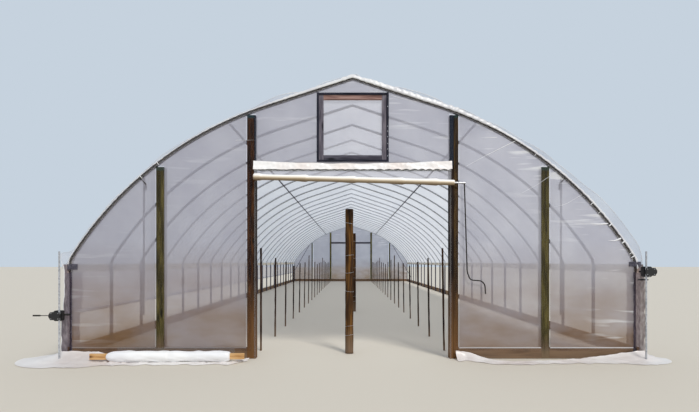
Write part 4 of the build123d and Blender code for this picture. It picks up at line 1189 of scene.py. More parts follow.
ROLL_R, ROLL_SWELL = 0.0285, 0.0014  # the roll's radius, and the most that its layers add
for side, sign in SIDES:
    low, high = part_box(f"side_curtain_{side}")
    x0, drop = abs(low[0] + high[0]) / 2, high[2] - low[2]
    y = np.linspace(low[1] + 0.002, high[1] - 0.002, BAYS * 6 + 1)
    rows = []
    for k in np.linspace(0, 1, 10 if drop > 0.3 else 3):
        z = high[2] - 0.002 - (drop - 0.002) * k
        billow = np.abs(ripples(y, y * 0 + z, 0.7, 0.006, 71, 0.6)) * sin(pi * k)
        out = billow * min(drop, 0.8) * 2
        rows.append(np.column_stack([sign * (x0 + out * 0.7), y, np.full(len(y), z)]))
    rows = np.array(rows) if sign > 0 else np.array(rows)[::-1]
    film_sheet(
        f"side_curtain_{side}_sheet", grid_mesh(side, [rows]), side_skin,
        (round(drop, 3), round(high[1] - low[1], 2)),
        [f"side_curtain_{side}"],
    )
    low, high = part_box(f"curtain_roll_{side}")
    roll_x, roll_z = (low[0] + high[0]) / 2, (low[2] + high[2]) / 2
    y = np.linspace(low[1], high[1], 420)
    rows = []
    for turn in np.linspace(0, 2 * pi, 21):
        swell = 0.0012 * np.abs(ripples(y + turn * 0.02, y * 0 + turn, 0.35, 1.0, 73, 0.4))
        radius = ROLL_R + np.clip(swell, 0, ROLL_SWELL)
        rows.append(np.column_stack([roll_x + radius * cos(turn), y, roll_z + radius * sin(turn)]))
    grids = roll_grids(rows, [(roll_x, at, roll_z) for at in (low[1], high[1])])
    roll = new_object(f"curtain_roll_{side}_film", grid_mesh(side, grids, closed=True))
    finish_piece(roll, white_roll, "rolled_film", f"curtain_roll_{side}")

# %% Corner strips
LOOSE = {  # how far a strip's free edge bags outward, at a height
    "left": [(0.0, 0.0), (0.6, 0.002), (0.78, -0.03), (1.1, -0.05), (1.4, -0.048), (1.53, -0.03)],
    "right": [(0.0, 0.0), (0.25, 0.02), (0.5, 0.024), (1.2, 0.022), (1.4, 0.01), (1.53, -0.02)],
}
STRIP_STEP = 0.012  # the distance between the strip's points; a wrinkle is three or four wide
for side, sign in SIDES:
    low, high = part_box(f"corner_strip_{side}")
    inner, outer = sorted((abs(low[0]), abs(high[0])))
    front_y = low[1]
    path = [(inner, front_y + 0.0015), (outer - 0.012, front_y + 0.0015)]
    path += [(outer - 0.004, front_y + 0.005), (outer - 0.0015, front_y + 0.014)]
    path += [(outer - 0.0015, high[1])]
    dense = []
    for (ax, ay), (bx, by) in zip(path, path[1:]):
        steps = max(1, int(hypot(bx - ax, by - ay) / STRIP_STEP))
        dense += [(ax + (bx - ax) * i / steps, ay + (by - ay) * i / steps) for i in range(steps)]
    dense = np.array(dense + [path[-1]])
    flat_x, flat_y = dense.T
    around = np.concatenate([[0], np.cumsum(np.hypot(*np.diff(dense, axis=0).T))])
    z = np.linspace(low[2], high[2], 90)
    tall = z[:, None]
    pull = np.abs(ripples(tall * 0.6, around[None, :] * 2.5, 0.1, 0.007, 81, 1.2))
    fray = ripples(tall, around[None, :] * 0, 0.3, 0.007, 82, 0.1)
    in_front = flat_y < front_y + 0.01
    y = flat_y - pull * in_front
    x = flat_x + fray * (around < 0.02) + pull * ~in_front * 0.6
    loose = np.interp(z, *zip(*LOOSE[side])) + ripples(z, z * 0, 0.22, 0.004, 83, 0.1)
    x = x + loose[:, None] * np.clip((x - inner) / (outer - inner), 0, 1)
    strip = np.stack([sign * x, y, np.repeat(tall, len(dense), axis=1)], axis=2)
    strip = strip if sign > 0 else strip[:, ::-1]
    film_sheet(
        f"corner_strip_{side}_sheet", grid_mesh(side, [strip]), strip_skins[side], (0.62, 1.53),
        [f"corner_strip_{side}"],
    )
    if side == "left":
        turned = [
            (sign * (outer - 0.004 + bag), front_y - 0.012, at) for at, bag in zip(z, loose)
        ]
        tubes("corner_fold", turned, 0.006, 8, 1, white_roll, "rolled_film")

# %% [markdown]
# ## The roll-up door
# The door is a sheet of film that a crank winds on a tube, up under the header. Only a band of
# it shows below the channel. The roll is uneven: film bunches as it winds, so it has soft
# bulges and a slight slope to the right. Over the header the end film is doubled and stapled.

# %% Door film
low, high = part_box("door_curtain")
x = np.linspace(low[0], high[0], 90)
ROLL_LEFT = np.array([-DOOR_HALF - 0.021, DOOR_TOP - 0.116])  # (x, z) of the roll's two ends,
ROLL_RIGHT = np.array([DOOR_HALF + 0.062, DOOR_TOP - 0.209])  # the right one lower
roll_z = np.interp(x, [ROLL_LEFT[0], ROLL_RIGHT[0]], [ROLL_LEFT[1], ROLL_RIGHT[1]])
rows = []
for k in np.linspace(0, 1, 9):
    out = np.abs(ripples(x, x * 0 + k * 0.3, 0.35, 0.003, 91, 0.4)) * sin(pi * k)
    y = np.full(len(x), low[1] + FILM / 2) - out
    rows.append(np.column_stack([x, y, roll_z + (high[2] - roll_z) * k]))
film_sheet(
    "door_curtain_sheet", grid_mesh("door", [np.array(rows)]), side_skin,
    (round(high[0] - low[0], 2), 0.25),
    ["door_curtain"],
)

# %% Header film, stapled in small arches, and the wire under it
ARCH = 0.13  # the distance between two staples
low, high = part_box("door_curtain_channel")
x = np.linspace(-DOOR_HALF - 0.035, DOOR_HALF + 0.035, 150)
rise = np.interp(np.abs(x), [0.0, 0.9, 1.35, 1.6], [-0.028, -0.012, 0.006, 0.018])
top = HEADER_TOP + rise + ripples(x, x * 0, 0.5, 0.004, 95, 0.2)
arch = np.abs(np.sin(pi * (x + 0.02 * np.sin(x * 5)) / ARCH)) - 0.6
sag = np.interp(x, [-1.5, -0.9, 0.2, 0.8], [0.002, 0.005, 0.009, 0.02])
bottom = high[2] - 0.014 + arch * sag + ripples(x, x * 0, 0.3, 0.002, 96, 0.2)
rows = []
for k in np.linspace(0, 1, 10):
    z = bottom + (top - bottom) * k
    puff = np.abs(ripples(x, z, 0.16, 0.008, 97, 0.9)) * (0.4 + sin(pi * k)) + 0.02 * (1 - k) ** 2
    rows.append(np.column_stack([x, FRONT - FACE - 0.0085 - puff, z]))
film_sheet(
    "header_film_fold", grid_mesh("header", [np.array(rows)]), header_skin, (3.22, 0.13),
)
line = [(x, low[1] - 0.0005, (low[2] + high[2]) / 2) for x in (low[0] + 0.01, high[0] - 0.01)]
spring_wire("door_channel_wire", line, (0, 1, 0), pitch=0.136, swing=0.012, radius=0.004, steps=10)

# %% Film edges on the jambs
JAMB_EDGE = 0.025  # how wide the film's edge lies on each door post
for side, sign in SIDES:
    z = np.linspace(0.01, DOOR_TOP + 0.02, 120)
    rows = []
    for k in (0, 0.35, 0.7, 1.0):
        edge = DOOR_HALF - 0.002 + JAMB_EDGE * k
        edge = edge + ripples(z, z * 0 + k, 0.4, 0.003, 98 + (sign > 0), 0.3) * (1 - k)
        out = 0.0065 + np.abs(ripples(z, z * 0 + k, 0.2, 0.0025, 99, 0.3))
        rows.append(np.column_stack([sign * edge, FRONT - FACE - out, z]))
    rows = np.array(rows) if sign < 0 else np.array(rows)[::-1]
    film_sheet(
        f"jamb_film_{side}", grid_mesh(side, [rows]), jamb_skin, (0.03, 3.06),
    )


# %% Door roll
def lumpy_roll(start, end, radius_at, seed, sides=22, steps=200, lumps=0.02):
    """A closed roll of film between two points; radius_at gives its radius along its length."""
    start, end = np.array(start), np.array(end)
    length = float(np.linalg.norm(end - start))
    along = (end - start) / length
    up = np.array([0, 0, 1.0]) if abs(along[2]) < 0.9 else np.array([0, 1.0, 0])
    up = up - along * (up @ along)
    up /= np.linalg.norm(up)
    side = np.cross(along, up)
    k = np.linspace(0, 1, steps)
    rows = []
    for turn in np.linspace(0, 2 * pi, sides + 1):
        wave = ripples(k * length + turn * 0.05, k * 0 + cos(turn), 0.28, lumps, seed, 0.7)
        radius = radius_at(k) * (1 + wave)
        spoke = up * sin(turn) + side * cos(turn)
        rows.append(start + (end - start) * k[:, None] + spoke * radius[:, None])
    return roll_grids(rows, (start, end))


# Film winds up in bulges that swell slowly and end at once: how far along each lies, and its size.
BULGES = [(0.03, 1.0), (0.26, 0.97), (0.5, 0.98), (0.74, 1.0), (0.91, 0.95)]


def door_roll_radius(k):
    """The door roll's radius at each share k of its length, an array."""
    radius = np.full(len(k), 0.0455)
    for at, size in BULGES:
        radius = radius + 0.0125 * size * np.exp(-(((k - at) / np.where(k < at, 0.05, 0.009)) ** 2))
    return radius * np.where((k < 0.004) | (k > 0.996), 0.85, 1.0)


low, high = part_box("door_curtain_roll")
roll_y = (low[1] + high[1]) / 2
start, end = ((x, roll_y, z) for x, z in (ROLL_LEFT, ROLL_RIGHT))
grids = lumpy_roll(start, end, door_roll_radius, 101)
door_roll = new_object("door_curtain_roll_film", grid_mesh("door_roll", grids, closed=True))
print("door roll", len(door_roll.data.polygons), "faces")

# %% The door roll's cream film
# Sun shines through the upper layers of the roll and leaves its belly in a warm shade. The colour
# follows the height above the roll's own sloping axis, so it keeps its place from every side.
ROLL_TILT = (ROLL_RIGHT[1] - ROLL_LEFT[1]) / (ROLL_RIGHT[0] - ROLL_LEFT[0])
ROLL_SHADES = [(0.0, "#7D6A52"), (0.35, "#B7A386"), (0.6, "#EFE3D0"), (0.85, "#FFFDF8")]
cream_roll, tree, output, coords = new_material("rolled_polythene_film_cream")
place = add(tree, "ShaderNodeSeparateXYZ", {0: coords}).outputs
axis = {0: place["X"], 1: ROLL_TILT, 2: ROLL_LEFT[1] - ROLL_TILT * ROLL_LEFT[0]}
axis = add(tree, "ShaderNodeMath", axis, operation="MULTIPLY_ADD").outputs[0]
above = add(tree, "ShaderNodeMath", {0: place["Z"], 1: axis}, operation="SUBTRACT").outputs[0]
level = add(tree, "ShaderNodeMapRange", {"Value": above, "From Min": -0.045, "From Max": 0.04})
colour = add(tree, "ShaderNodeValToRGB", {"Fac": level.outputs[0]}, stops=ROLL_SHADES).outputs[0]
shade = add(tree, "ShaderNodeBsdfPrincipled", {"Base Color": colour, "Roughness": 0.35})
tree.links.new(shade.outputs[0], output.inputs[0])
finish_piece(door_roll, cream_roll, "rolled_film", "door_curtain_roll")
print("the roll slopes by", round(ROLL_TILT * 100, 1), "percent")


# %% Rod and crank
def rounded(corners, radius, steps=6):
    """A line through corners, each rounded by an arc drawn as a quadratic curve."""
    corners = [np.array(c, dtype=float) for c in corners]
    points = [corners[0]]
    for before, corner, after in zip(corners, corners[1:], corners[2:]):
        into, out = before - corner, after - corner
        cut = min(radius, np.linalg.norm(into) / 2.1, np.linalg.norm(out) / 2.1)
        a = corner + into / np.linalg.norm(into) * cut
        b = corner + out / np.linalg.norm(out) * cut
        for i in range(steps + 1):
            k = i / steps
            points.append(a * (1 - k) ** 2 + corner * 2 * k * (1 - k) + b * k**2)
    return [tuple(p) for p in points + [corners[-1]]]


rod_along = np.array([ROLL_RIGHT[0] - ROLL_LEFT[0], 0, ROLL_RIGHT[1] - ROLL_LEFT[1]])
rod_along /= np.linalg.norm(rod_along)
rod = [end, tuple(np.array(end) + rod_along * 0.18)]
tubes("door_rod", rod, 0.0135, 20, 1, white_rod, "dark_steel", "door_curtain_rod")
low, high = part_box("door_crank")
CRANK = [(0, 0), (0.045, -1.42), (0.095, -1.545), (0.275, -1.56), (0.33, -1.62), (0.34, -1.77)]
corners = [(low[0] + 0.01 + dx, (low[1] + high[1]) / 2, high[2] + dz) for dx, dz in CRANK]
line = rounded(corners, 0.045)
tubes("door_crank_rod", line, 0.01, 16, 1, dark_steel, "dark_steel", "door_crank")

# %% [markdown]
# ## Sawn timber
# A sawn board is a box to the CAD, but its long edges are worn round and it is nowhere quite
# straight, so light runs along its edges unevenly. One function draws such a board as a rounded
# section with a few steps along it. It never grows beyond the CAD's box, so it stays clear of
# what it was clear of. A modifier could round the edges too, but not wear them unevenly.


# %% How a sawn board is drawn
def sawn(low, high, axis, seed, radius=0.004, every=0.3, wear=0.0012):
    """Grids for one sawn board or post between two corners, with worn and uneven edges."""
    low, high = np.array(low, dtype=float), np.array(high, dtype=float)
    across = [i for i in range(3) if i != axis]
    section = []
    for quarter, ends in enumerate([(1, 1), (0, 1), (0, 0), (1, 0)]):
        corner = [high[i] - radius if end else low[i] + radius for i, end in zip(across, ends)]
        for turn in (0, 0.5, 1):
            angle = (quarter + turn) * pi / 2
            section.append((corner[0] + radius * cos(angle), corner[1] + radius * sin(angle)))
    section = np.array(section + section[:1])
    steps = max(2, int((high[axis] - low[axis]) / every) + 1)
    along = np.linspace(low[axis], high[axis], steps)
    rows = np.empty((len(section), steps, 3))
    rows[:, :, axis] = along
    middle = (section.max(axis=0) + section.min(axis=0)) / 2
    for j, column in enumerate(across):
        loss = np.abs(ripples(along[None, :], section[:, None, 0] * 9, 0.5, wear, seed + j, 0.4))
        side = np.sign(section[:, None, j] - middle[j])
        rows[:, :, column] = section[:, None, j] - side * np.minimum(loss, 2 * wear)
    return roll_grids(rows, [rows[:-1, i].mean(axis=0) for i in (0, -1)])


def timber(name, spans, axis, material, slot, *nodes, seed=200, **settings):
    """One piece of sawn timber for each span (lowest corner, highest corner)."""
    grids = []
    for i, (low, high) in enumerate(spans):
        grids += sawn(low, high, axis, seed + 7 * i, **settings)
    piece = new_object(name, grid_mesh(name, grids, closed=True))
    for face in piece.data.polygons:
        face.use_smooth = False
    print(name, len(spans), "boards")
    return finish_piece(piece, material, slot, *nodes)


def lengths_of(low, high, axis, most):
    """Cuts a long board's box into equal lengths, each at most so long, with narrow gaps."""
    count = int(np.ceil((high[axis] - low[axis]) / most))
    marks = np.linspace(low[axis], high[axis], count + 1)
    spans = []
    for a, b in zip(marks, marks[1:]):
        start, end = list(low), list(high)
        start[axis], end[axis] = a + 0.0008, b - 0.0008
        spans.append((start, end))
    return spans


def cuts(low, high, marks):
    """Boards cut from one box at pairs of x values, standing on the ground."""
    return [((a, low[1], 0), (b, high[1], high[2])) for a, b in marks]


print("a sawn board has", len(sawn((0, 0, 0), (1, 1, 1), UP, 1)[0]), "points round its section")

# %% Side boards and the timber of the front wall
TIMBER, GREEN = "treated_timber", "green_timber"  # the record's finishes for wood
LUMBER = 4.88  # sixteen feet, the longest common board
JAMB = {"left": 0.022, "right": 0.062}  # the inner strip of each door post, drawn as its own board and painted darker for the doorway's shade
POST_WOOD = {"left": brown_post, "right": olive_post}
SEAM = 0.0005  # half of the dark line between a post and its jamb board
for side, sign in SIDES:
    for board, material, seed in (("hip_board", pale_board, 200), ("baseboard", side_board, 260)):
        node = f"{board}_{side}"
        spans = lengths_of(*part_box(node), ALONG, LUMBER)
        timber(f"{board}s_{side}", spans, ALONG, material, TIMBER, node, seed=seed)
    node = f"door_post_{side}"
    low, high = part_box(node)
    seam = sign * (DOOR_HALF + JAMB[side])
    post, jamb = cuts(low, high, [(low[0], seam - SEAM), (seam + SEAM, high[0])])[::-sign]
    material = POST_WOOD[side]
    timber(f"{node}_timber", [post], UP, material, TIMBER, node, radius=0.006, seed=300)
    timber(f"door_jamb_{side}_board", [jamb], UP, shade_dark_jamb, TIMBER, node, seed=310)
    node = f"side_post_{side}"
    low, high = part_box(node)
    timber(f"{node}_timber", [(low, high)], UP, green_post, GREEN, node, seed=320)
    post_inner, post_outer = sorted((abs(low[0]), abs(high[0])))
    node = f"front_baseboard_{side}"
    low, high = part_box(node)
    inner, outer = sorted((abs(low[0]), abs(high[0])))
    spans = []
    for a, b in ((inner, post_inner), (post_outer, outer)):
        x0, x1 = sorted((sign * a, sign * b))
        spans.append(((x0, low[1], low[2]), (x1, high[1], high[2])))
    timber(f"front_baseboards_{side}", spans, ACROSS, cross_board, TIMBER, node, seed=340)
for node, material, seed in (("door_header", cross_board, 380), ("rear_header", vent_foot, 384)):
    timber(f"{node}_board", [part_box(node)], ACROSS, material, TIMBER, node, seed=seed)

# %% The timber of the rear wall
DOOR_POST, SIDE_POST = 0.14, 0.089  # the widths of the rear wall's posts
for node, width, material, slot in (
    ("rear_door_posts", DOOR_POST, rear_pine, TIMBER),
    ("rear_side_posts", SIDE_POST, green_post, GREEN),
):
    low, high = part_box(node)
    spans = cuts(low, high, [(low[0], low[0] + width), (high[0] - width, high[0])])
    timber(f"{node}_timber", spans, UP, material, slot, node, seed=400)
post_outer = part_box("rear_side_posts")[1][0]
post_inner = post_outer - SIDE_POST
door, past_door = DOOR_HALF, DOOR_HALF + DOOR_POST
low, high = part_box("rear_baseboards")
marks = [(-high[0], -post_outer), (-post_inner, -past_door), (-door, door)]
marks += [(past_door, post_inner), (post_outer, high[0])]
spans = cuts(low, high, marks)
timber("rear_baseboard_boards", spans, ACROSS, cross_board, TIMBER, "rear_baseboards", seed=420)

# %% Crop stakes
STAKE, STAKES, STAKE_SPACING, LEAN = 0.038, 19, 1.5, 0.016
STAKE_HEIGHTS = [1.81, 1.65, 1.57, 1.465, 1.525, 1.55]
low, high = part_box("crop_stakes")
spans = []
for x in (low[0], high[0] - STAKE):
    for i in range(STAKES):
        y, top = low[1] + STAKE_SPACING * i, STAKE_HEIGHTS[i % len(STAKE_HEIGHTS)]
        spans.append(((x, y, 0), (x + STAKE, y + STAKE, top)))
stakes = timber(
    "crop_stake_poles", spans, UP, stake_wood, "dark_wood", "crop_stakes", seed=450,
    radius=0.011, every=0.12, wear=0.004,
)
corners = np.empty(len(stakes.data.vertices) * 3)
stakes.data.vertices.foreach_get("co", corners)
corners = corners.reshape(-1, 3)
row = np.round((corners[:, 1] - low[1]) / STAKE_SPACING) + 50 * (corners[:, 0] > 0)
for axis, turn in ((ACROSS, 12.9), (ALONG, 7.7)):  # each stake leans a different way
    corners[:, axis] += np.sin(row * turn) * LEAN * corners[:, 2]
stakes.data.vertices.foreach_set("co", corners.ravel())

# %% Finishes for the CAD's own shapes
for material, nodes in (
    (batten_wood, ["tail_batten"]),
    (zinc, ["roll_cores", "guide_poles"]),
    (weathered_shaded_zinc, ["wind_braces"]),
    (aluminium, ["hip_channels", "door_curtain_channel"]),
    (dark_steel, ["crank_handle_left"]),
    (white_rod, ["crank_handle_right"]),
    (black_nylon, ["gearbox_left", "gearbox_right"]),
):
    dress(material, *nodes)
    print(material.name, "on", nodes)

# %% [markdown]
# ## Trellis poles
# Two peeled trunks stand in the middle aisle. Each is nearly round, with long splits from drying
# that turn slowly round the trunk, and rings of wire that the trellis was tied to. The trunk is
# the same kind of closed roll as the door's, with the splits pressed in afterwards.

# %% Trellis poles
POLE_TOP = 2.47
POLES = [(-0.056, 0.41), (0.067, 6.97)]  # x, and the distance behind the front bow
RING_HEIGHTS = (2.226, 1.673, 1.386, 1.065, 0.466, 0.318)
RING_STEPS = 24


def pole_radius(k, i):
    """A trunk's radius at a share k of its height: narrower upwards, with slight swellings."""
    return 0.0725 - 0.004 * k - 0.0015 * np.abs(np.sin(k * 23 + i))


for i, (x, y) in enumerate(POLES):
    foot, top = (x, FRONT + y, 0.0), (x, FRONT + y, POLE_TOP)
    grids = lumpy_roll(foot, top, lambda k: pole_radius(k, i), 501 + i, sides=36, steps=70)
    spokes = grids[0][:, :, :2] - np.array([x, FRONT + y])
    turn = np.arctan2(spokes[:, :, 1], spokes[:, :, 0])
    height = grids[0][:, :, 2]
    cut = np.clip(np.cos(turn * 3 + height * 0.35 + i) * 8 - 7.2, 0, 1) * 0.012
    cut *= 0.5 + 0.5 * np.sin(height * 2.1 + i)
    grids[0][:, :, :2] -= spokes * (cut / np.hypot(spokes[:, :, 0], spokes[:, :, 1]))[:, :, None]
    piece = new_object(f"trellis_pole_{i + 1}", grid_mesh("pole", grids, closed=True))
    finish_piece(piece, pole_wood, "dark_wood", "trellis_poles")
    points, edges = [], []
    for height in RING_HEIGHTS:
        first, reach = len(points), pole_radius(height / POLE_TOP, i) + 0.002
        for n in range(RING_STEPS):
            turn = 2 * pi * n / RING_STEPS
            tilt = 0.012 * sin(turn + height * 5)
            points.append((x + reach * cos(turn), FRONT + y + reach * sin(turn), height + tilt))
            edges.append((first + n, first + (n + 1) % RING_STEPS))
    tubes(f"trellis_wire_rings_{i + 1}", points, 0.0022, 6, 1, white_rod, TUBE, edges=edges)

# %% [markdown]
# ## The gable vent
# A small opening sash hangs in the gable. Its surround is four boards on edge, and the sash is
# four boards on the flat with the rails between the stiles. Each board is drawn on its own, so
# the grain turns at the corners and the joints show as fine dark lines.

# %% Vent frame
STILE = 0.075  # the width of each board of the sash
(x0, y0, z0), (x1, y1, z1) = low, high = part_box("vent_surround")
sides = [((x, y0, z0), (x + BOARD, y1, z1)) for x in (x0, x1 - BOARD)]
top_and_sill = [((x0 + BOARD, y0, z), (x1 - BOARD, y1, z + BOARD)) for z in (z0, z1 - BOARD)]
(sx0, sy0, sz0), (sx1, sy1, sz1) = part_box("vent_sash")
stiles = [((x, sy0, sz0), (x + STILE, sy1, sz1)) for x in (sx0, sx1 - STILE)]
foot, head = (
    [((sx0 + STILE, sy0, z), (sx1 - STILE, sy1, z + STILE))] for z in (sz0, sz1 - STILE)
)
for name, spans, axis, material, node in (
    ("vent_surround_boards", sides, UP, vent_side, "vent_surround"),
    ("vent_surround_rails", top_and_sill, ACROSS, vent_side_rail, "vent_surround"),
    ("vent_stiles", stiles, UP, vent_stile, "vent_sash"),
    ("vent_top_rail", head, ACROSS, vent_top, "vent_sash"),
    ("vent_foot_rail", foot, ACROSS, vent_foot, "vent_sash"),
):
    timber(name, spans, axis, material, "vent_wood", node, seed=600, radius=0.002)

# %% Staples and pane of the vent
STAPLE_HEIGHTS = (0.1, 0.21, 0.3, 0.41, 0.5, 0.58, 0.9)  # above the foot of the surround
staples = [(x1 - BOARD / 2, y0 - 0.001, z0 + z) for z in STAPLE_HEIGHTS]
STAPLE = {"radius": 0.008, "length": 0.004, "sides": 4, "turn": ALONG_Y}
fittings("vent_staples", staples, white_rod, "vent_wood", **STAPLE)
low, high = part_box("vent_pane")
X, Z = np.meshgrid(np.linspace(low[0], high[0], 24), np.linspace(low[2], high[2], 24))
Y = (low[1] + high[1]) / 2 + ripples(X, Z, 0.35, 0.0012, 651, 0.8)
pane = grid_mesh("pane", [np.stack([X, Y, Z], axis=2)])
cut = (round(high[0] - low[0], 3), round(high[2] - low[2], 3))
film_sheet(
    "vent_pane_film", pane, side_skin, cut, ["vent_pane"]
)

# %% [markdown]
# ## Loose film on the ground
# The film that once closed the left of the front wall ends in a tail, rolled round a batten and
# left on the ground. Its apron lies from the wall's foot to the roll. Along the rest of the front
# the film's surplus leans on the baseboards and spreads on the ground. Each is a set of rows
# that start on the wall and end on the ground, with waves that grow where nothing pulls.

# %% Tail roll
TAIL_REACH, TAIL_TURN = 0.95, radians(0.9)  # half the roll's length, and its slight turn
TAIL_HEIGHT = 0.0965  # of the roll's middle above the ground
low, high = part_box("tail_film_roll")
middle = np.array([(low[0] + high[0]) / 2, (low[1] + high[1]) / 2, TAIL_HEIGHT])
reach = np.array([cos(TAIL_TURN), sin(TAIL_TURN), 0]) * TAIL_REACH


def tail_radius(k):
    """The roll's radius at a share k of its length: both ends taper and one half is dented."""
    taper = 0.045 * np.exp(-k / 0.03) + 0.02 * np.exp(-(1 - k) / 0.012)
    return 0.09 - taper - 0.008 * np.abs(np.sin(k * 17)) * (k > 0.5) - 0.006 * np.cos(k * 9) ** 2


start, end = middle - reach, middle + reach
grids = lumpy_roll(start, end, tail_radius, 701, sides=36, steps=150, lumps=0.05)
piece = new_object("tail_roll_film", grid_mesh("tail", grids, closed=True))
finish_piece(piece, white_roll, "rolled_film", "tail_film_roll")

# %% Tail apron
low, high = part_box("tail_apron")
x = np.linspace(low[0], high[0], 60)
path = [(-0.0012, high[2] - low[2])]  # (distance behind the wall's face, height)
path += [(-0.0012 - 0.0006 * k, 0.18 - 0.17 * k) for k in (0.25, 0.5, 0.75, 0.95)]
path += [(-0.012, 0.006), (-0.06, 0.004), (-0.12, 0.004), (-0.18, 0.004), (-0.235, 0.005)]
ON_WALL = 6  # so many of these rows lie against the wall, the others on the ground
rows = []
for i, (out, z) in enumerate(path):
    wave = np.abs(ripples(x, x * 0 + i * 0.2, 0.3, 0.004, 711, 0.5))
    on_wall = i < ON_WALL
    y = high[1] + out - wave * on_wall
    rows.append(np.column_stack([x, y, z + wave * 1.5 * (not on_wall)]))
film_sheet(
    "tail_apron_film", grid_mesh("apron", [np.array(rows)]), jamb_skin, (1.9, 0.42),
    ["tail_apron"],
)

# %% Film spread on the ground along the front
CORNER_X, CORNER_R = 4.66, 0.03  # where the skirt turns round the corner, and how tightly
SKIRT_HEIGHT = 0.004  # the lower edge lies this far above the ground


def skirt(name, line, marks, seed, steps=16):
    """Loose film along the foot of a wall: line holds (x, y, nx, ny) along the foot.

    marks hold, for distances along the wall, the height and the distance out of the film's upper
    edge, and how far out its lower edge lies on the ground.
    """
    line = np.array(line)
    along = np.abs(line[:, 0]) + line[:, 1] - FRONT + FACE
    at, *values = zip(*marks)
    top, near, far = (np.interp(along, at, value) for value in values)
    top = top + ripples(along, along * 0, 0.3, 0.006, seed, 0.1) * (top > 0.02)
    far = far + ripples(along, along * 0, 0.35, 0.03, seed + 3, 0.1)
    grid = []
    for k in np.linspace(0, 1, steps):
        fall = (1 - k) ** 2.2
        out = near + (far - near) * k**1.3
        lift = np.abs(ripples(along, out, 0.13, 0.011, seed + 1, 0.8))
        lift = lift * (0.25 + sin(pi * min(k + 0.1, 1.0)))
        out = out + np.abs(ripples(along, k * 0.3, 0.1, 0.006, seed + 2, 0.5)) * fall
        x, y = (line[:, i] + line[:, i + 2] * out for i in (0, 1))
        grid.append(np.column_stack([x, y, SKIRT_HEIGHT + top * fall + lift]))
    mesh = grid_mesh(name, [np.array(grid)])
    lengths = np.hypot(*np.diff(line[:, :2], axis=0).T)
    flat = (round(float(lengths.sum()), 2), round(float((far - near + top).max()) + 0.15, 2))
    return film_sheet(name, mesh, skirt_skin, flat, area=cut_area(mesh))


def foot_line(sign, inner, back, step=0.04):
    """The foot of the front wall from x = inner out to the corner, and round it along the side."""
    y = FRONT - FACE
    line = [(sign * x, y, 0, -1) for x in np.arange(inner, CORNER_X, step)]
    for turn in np.linspace(0, pi / 2, 9):
        line.append((sign * (CORNER_X + CORNER_R * sin(turn)), y, sign * sin(turn), -cos(turn)))
    side_x = sign * (CORNER_X + CORNER_R)
    return line + [(side_x, y + back_y, sign, 0) for back_y in np.arange(step, back, step)]


RIGHT_SKIRT = [  # distance along the wall, the upper edge's height and distance out, reach
    (1.64, 0.13, 0.03, 0.16), (1.8, 0.12, 0.03, 0.2), (2.0, 0.06, 0.06, 0.3),
    (2.2, 0.015, 0.16, 0.42), (2.5, 0.01, 0.26, 0.46), (3.2, 0.01, 0.2, 0.38),
    (3.8, 0.03, 0.08, 0.36), (4.2, 0.07, 0.03, 0.4), (4.6, 0.12, 0.02, 0.5),
    (4.7, 0.13, 0.02, 0.32), (4.8, 0.12, 0.02, 0.31), (5.3, 0.06, 0.02, 0.2),
]
LEFT_SKIRT = [
    (1.64, 0.02, 0.04, 0.2), (1.9, 0.015, 0.3, 0.44), (3.7, 0.015, 0.32, 0.5),
    (3.9, 0.06, 0.05, 0.56), (4.1, 0.11, 0.02, 0.66), (4.66, 0.12, 0.02, 0.66),
    (4.8, 0.12, 0.02, 0.5), (5.3, 0.05, 0.02, 0.2),
]
skirt("film_skirt_right", foot_line(1, inner=1.66, back=0.6), RIGHT_SKIRT, seed=811)
skirt("film_skirt_left", foot_line(-1, inner=1.66, back=0.7), LEFT_SKIRT, seed=821)

# %% [markdown]
# ## Small fittings at the front corners
# The wind braces end in a bent elbow under the bow, each hip board is held by a flat steel
# bracket, and the crank housings have a cover with four screws and short stubs for the rods.
# They are only a few pixels wide in the picture, but they tell the eye how the corner is held.


# %% Elbows and brackets
def height_at(x, offset):
    """How high a bow's line, moved outwards by offset, lies at x from the middle."""
    line = np.array(half_bow(offset, 0.0, **SMOOTH))[::-1]
    return float(np.interp(abs(x), line[:, 0], line[:, 1]))


def slab(sign, x_range, y_range, z_range):
    """The box between two distances from the middle, on one side of the tunnel."""
    x0, x1 = sorted(sign * x for x in x_range)
    return ((x0, y_range[0], z_range[0]), (x1, y_range[1], z_range[1]))


WALL = FRONT - FACE
ELBOW_X, ELBOW_REACH = 3.44, 0.088
BRACKETS = {"left": ((4.445, 4.61), (1.44, 1.53)), "right": ((4.465, 4.655), (1.49, 1.57))}


def corner_steel(side, sign):
    """The elbow at a brace's head and the bracket on the hip board, on one side."""
    top, y = height_at(ELBOW_X, 0.0), WALL + 0.008
    foot_x, head_x = sign * (ELBOW_X - ELBOW_REACH), sign * ELBOW_X
    elbow = [(foot_x, y + 0.012, top - 0.19), (foot_x, y, top - 0.09), (head_x, y, top - 0.005)]
    tubes(f"brace_elbow_{side}", rounded(elbow, 0.03), 0.014, 12, 1, dark_steel, TUBE)
    x_range, z_range = BRACKETS[side]
    spans = [slab(sign, x_range, (WALL - 0.021, WALL - 0.012), z_range)]
    timber(f"hip_bracket_{side}", spans, ACROSS, weathered_shaded_zinc, TUBE, seed=850, radius=0.003)


print("the bow's height over an elbow:", round(height_at(ELBOW_X, 0.0), 3))

# %% Stubs, covers and screws of the crank housings
STUBS = {  # the ranges of distance from the middle and of height
    "left": [((4.54, 4.64), (0.708, 0.736))],
    "right": [((4.61, 4.7), (1.396, 1.424)), ((4.592, 4.712), (1.268, 1.292))],
}
PLASTIC = "black_plastic"  # the record's finish for the housings
SCREW = {"radius": 0.006, "length": 0.003, "sides": 12, "turn": ALONG_Y}


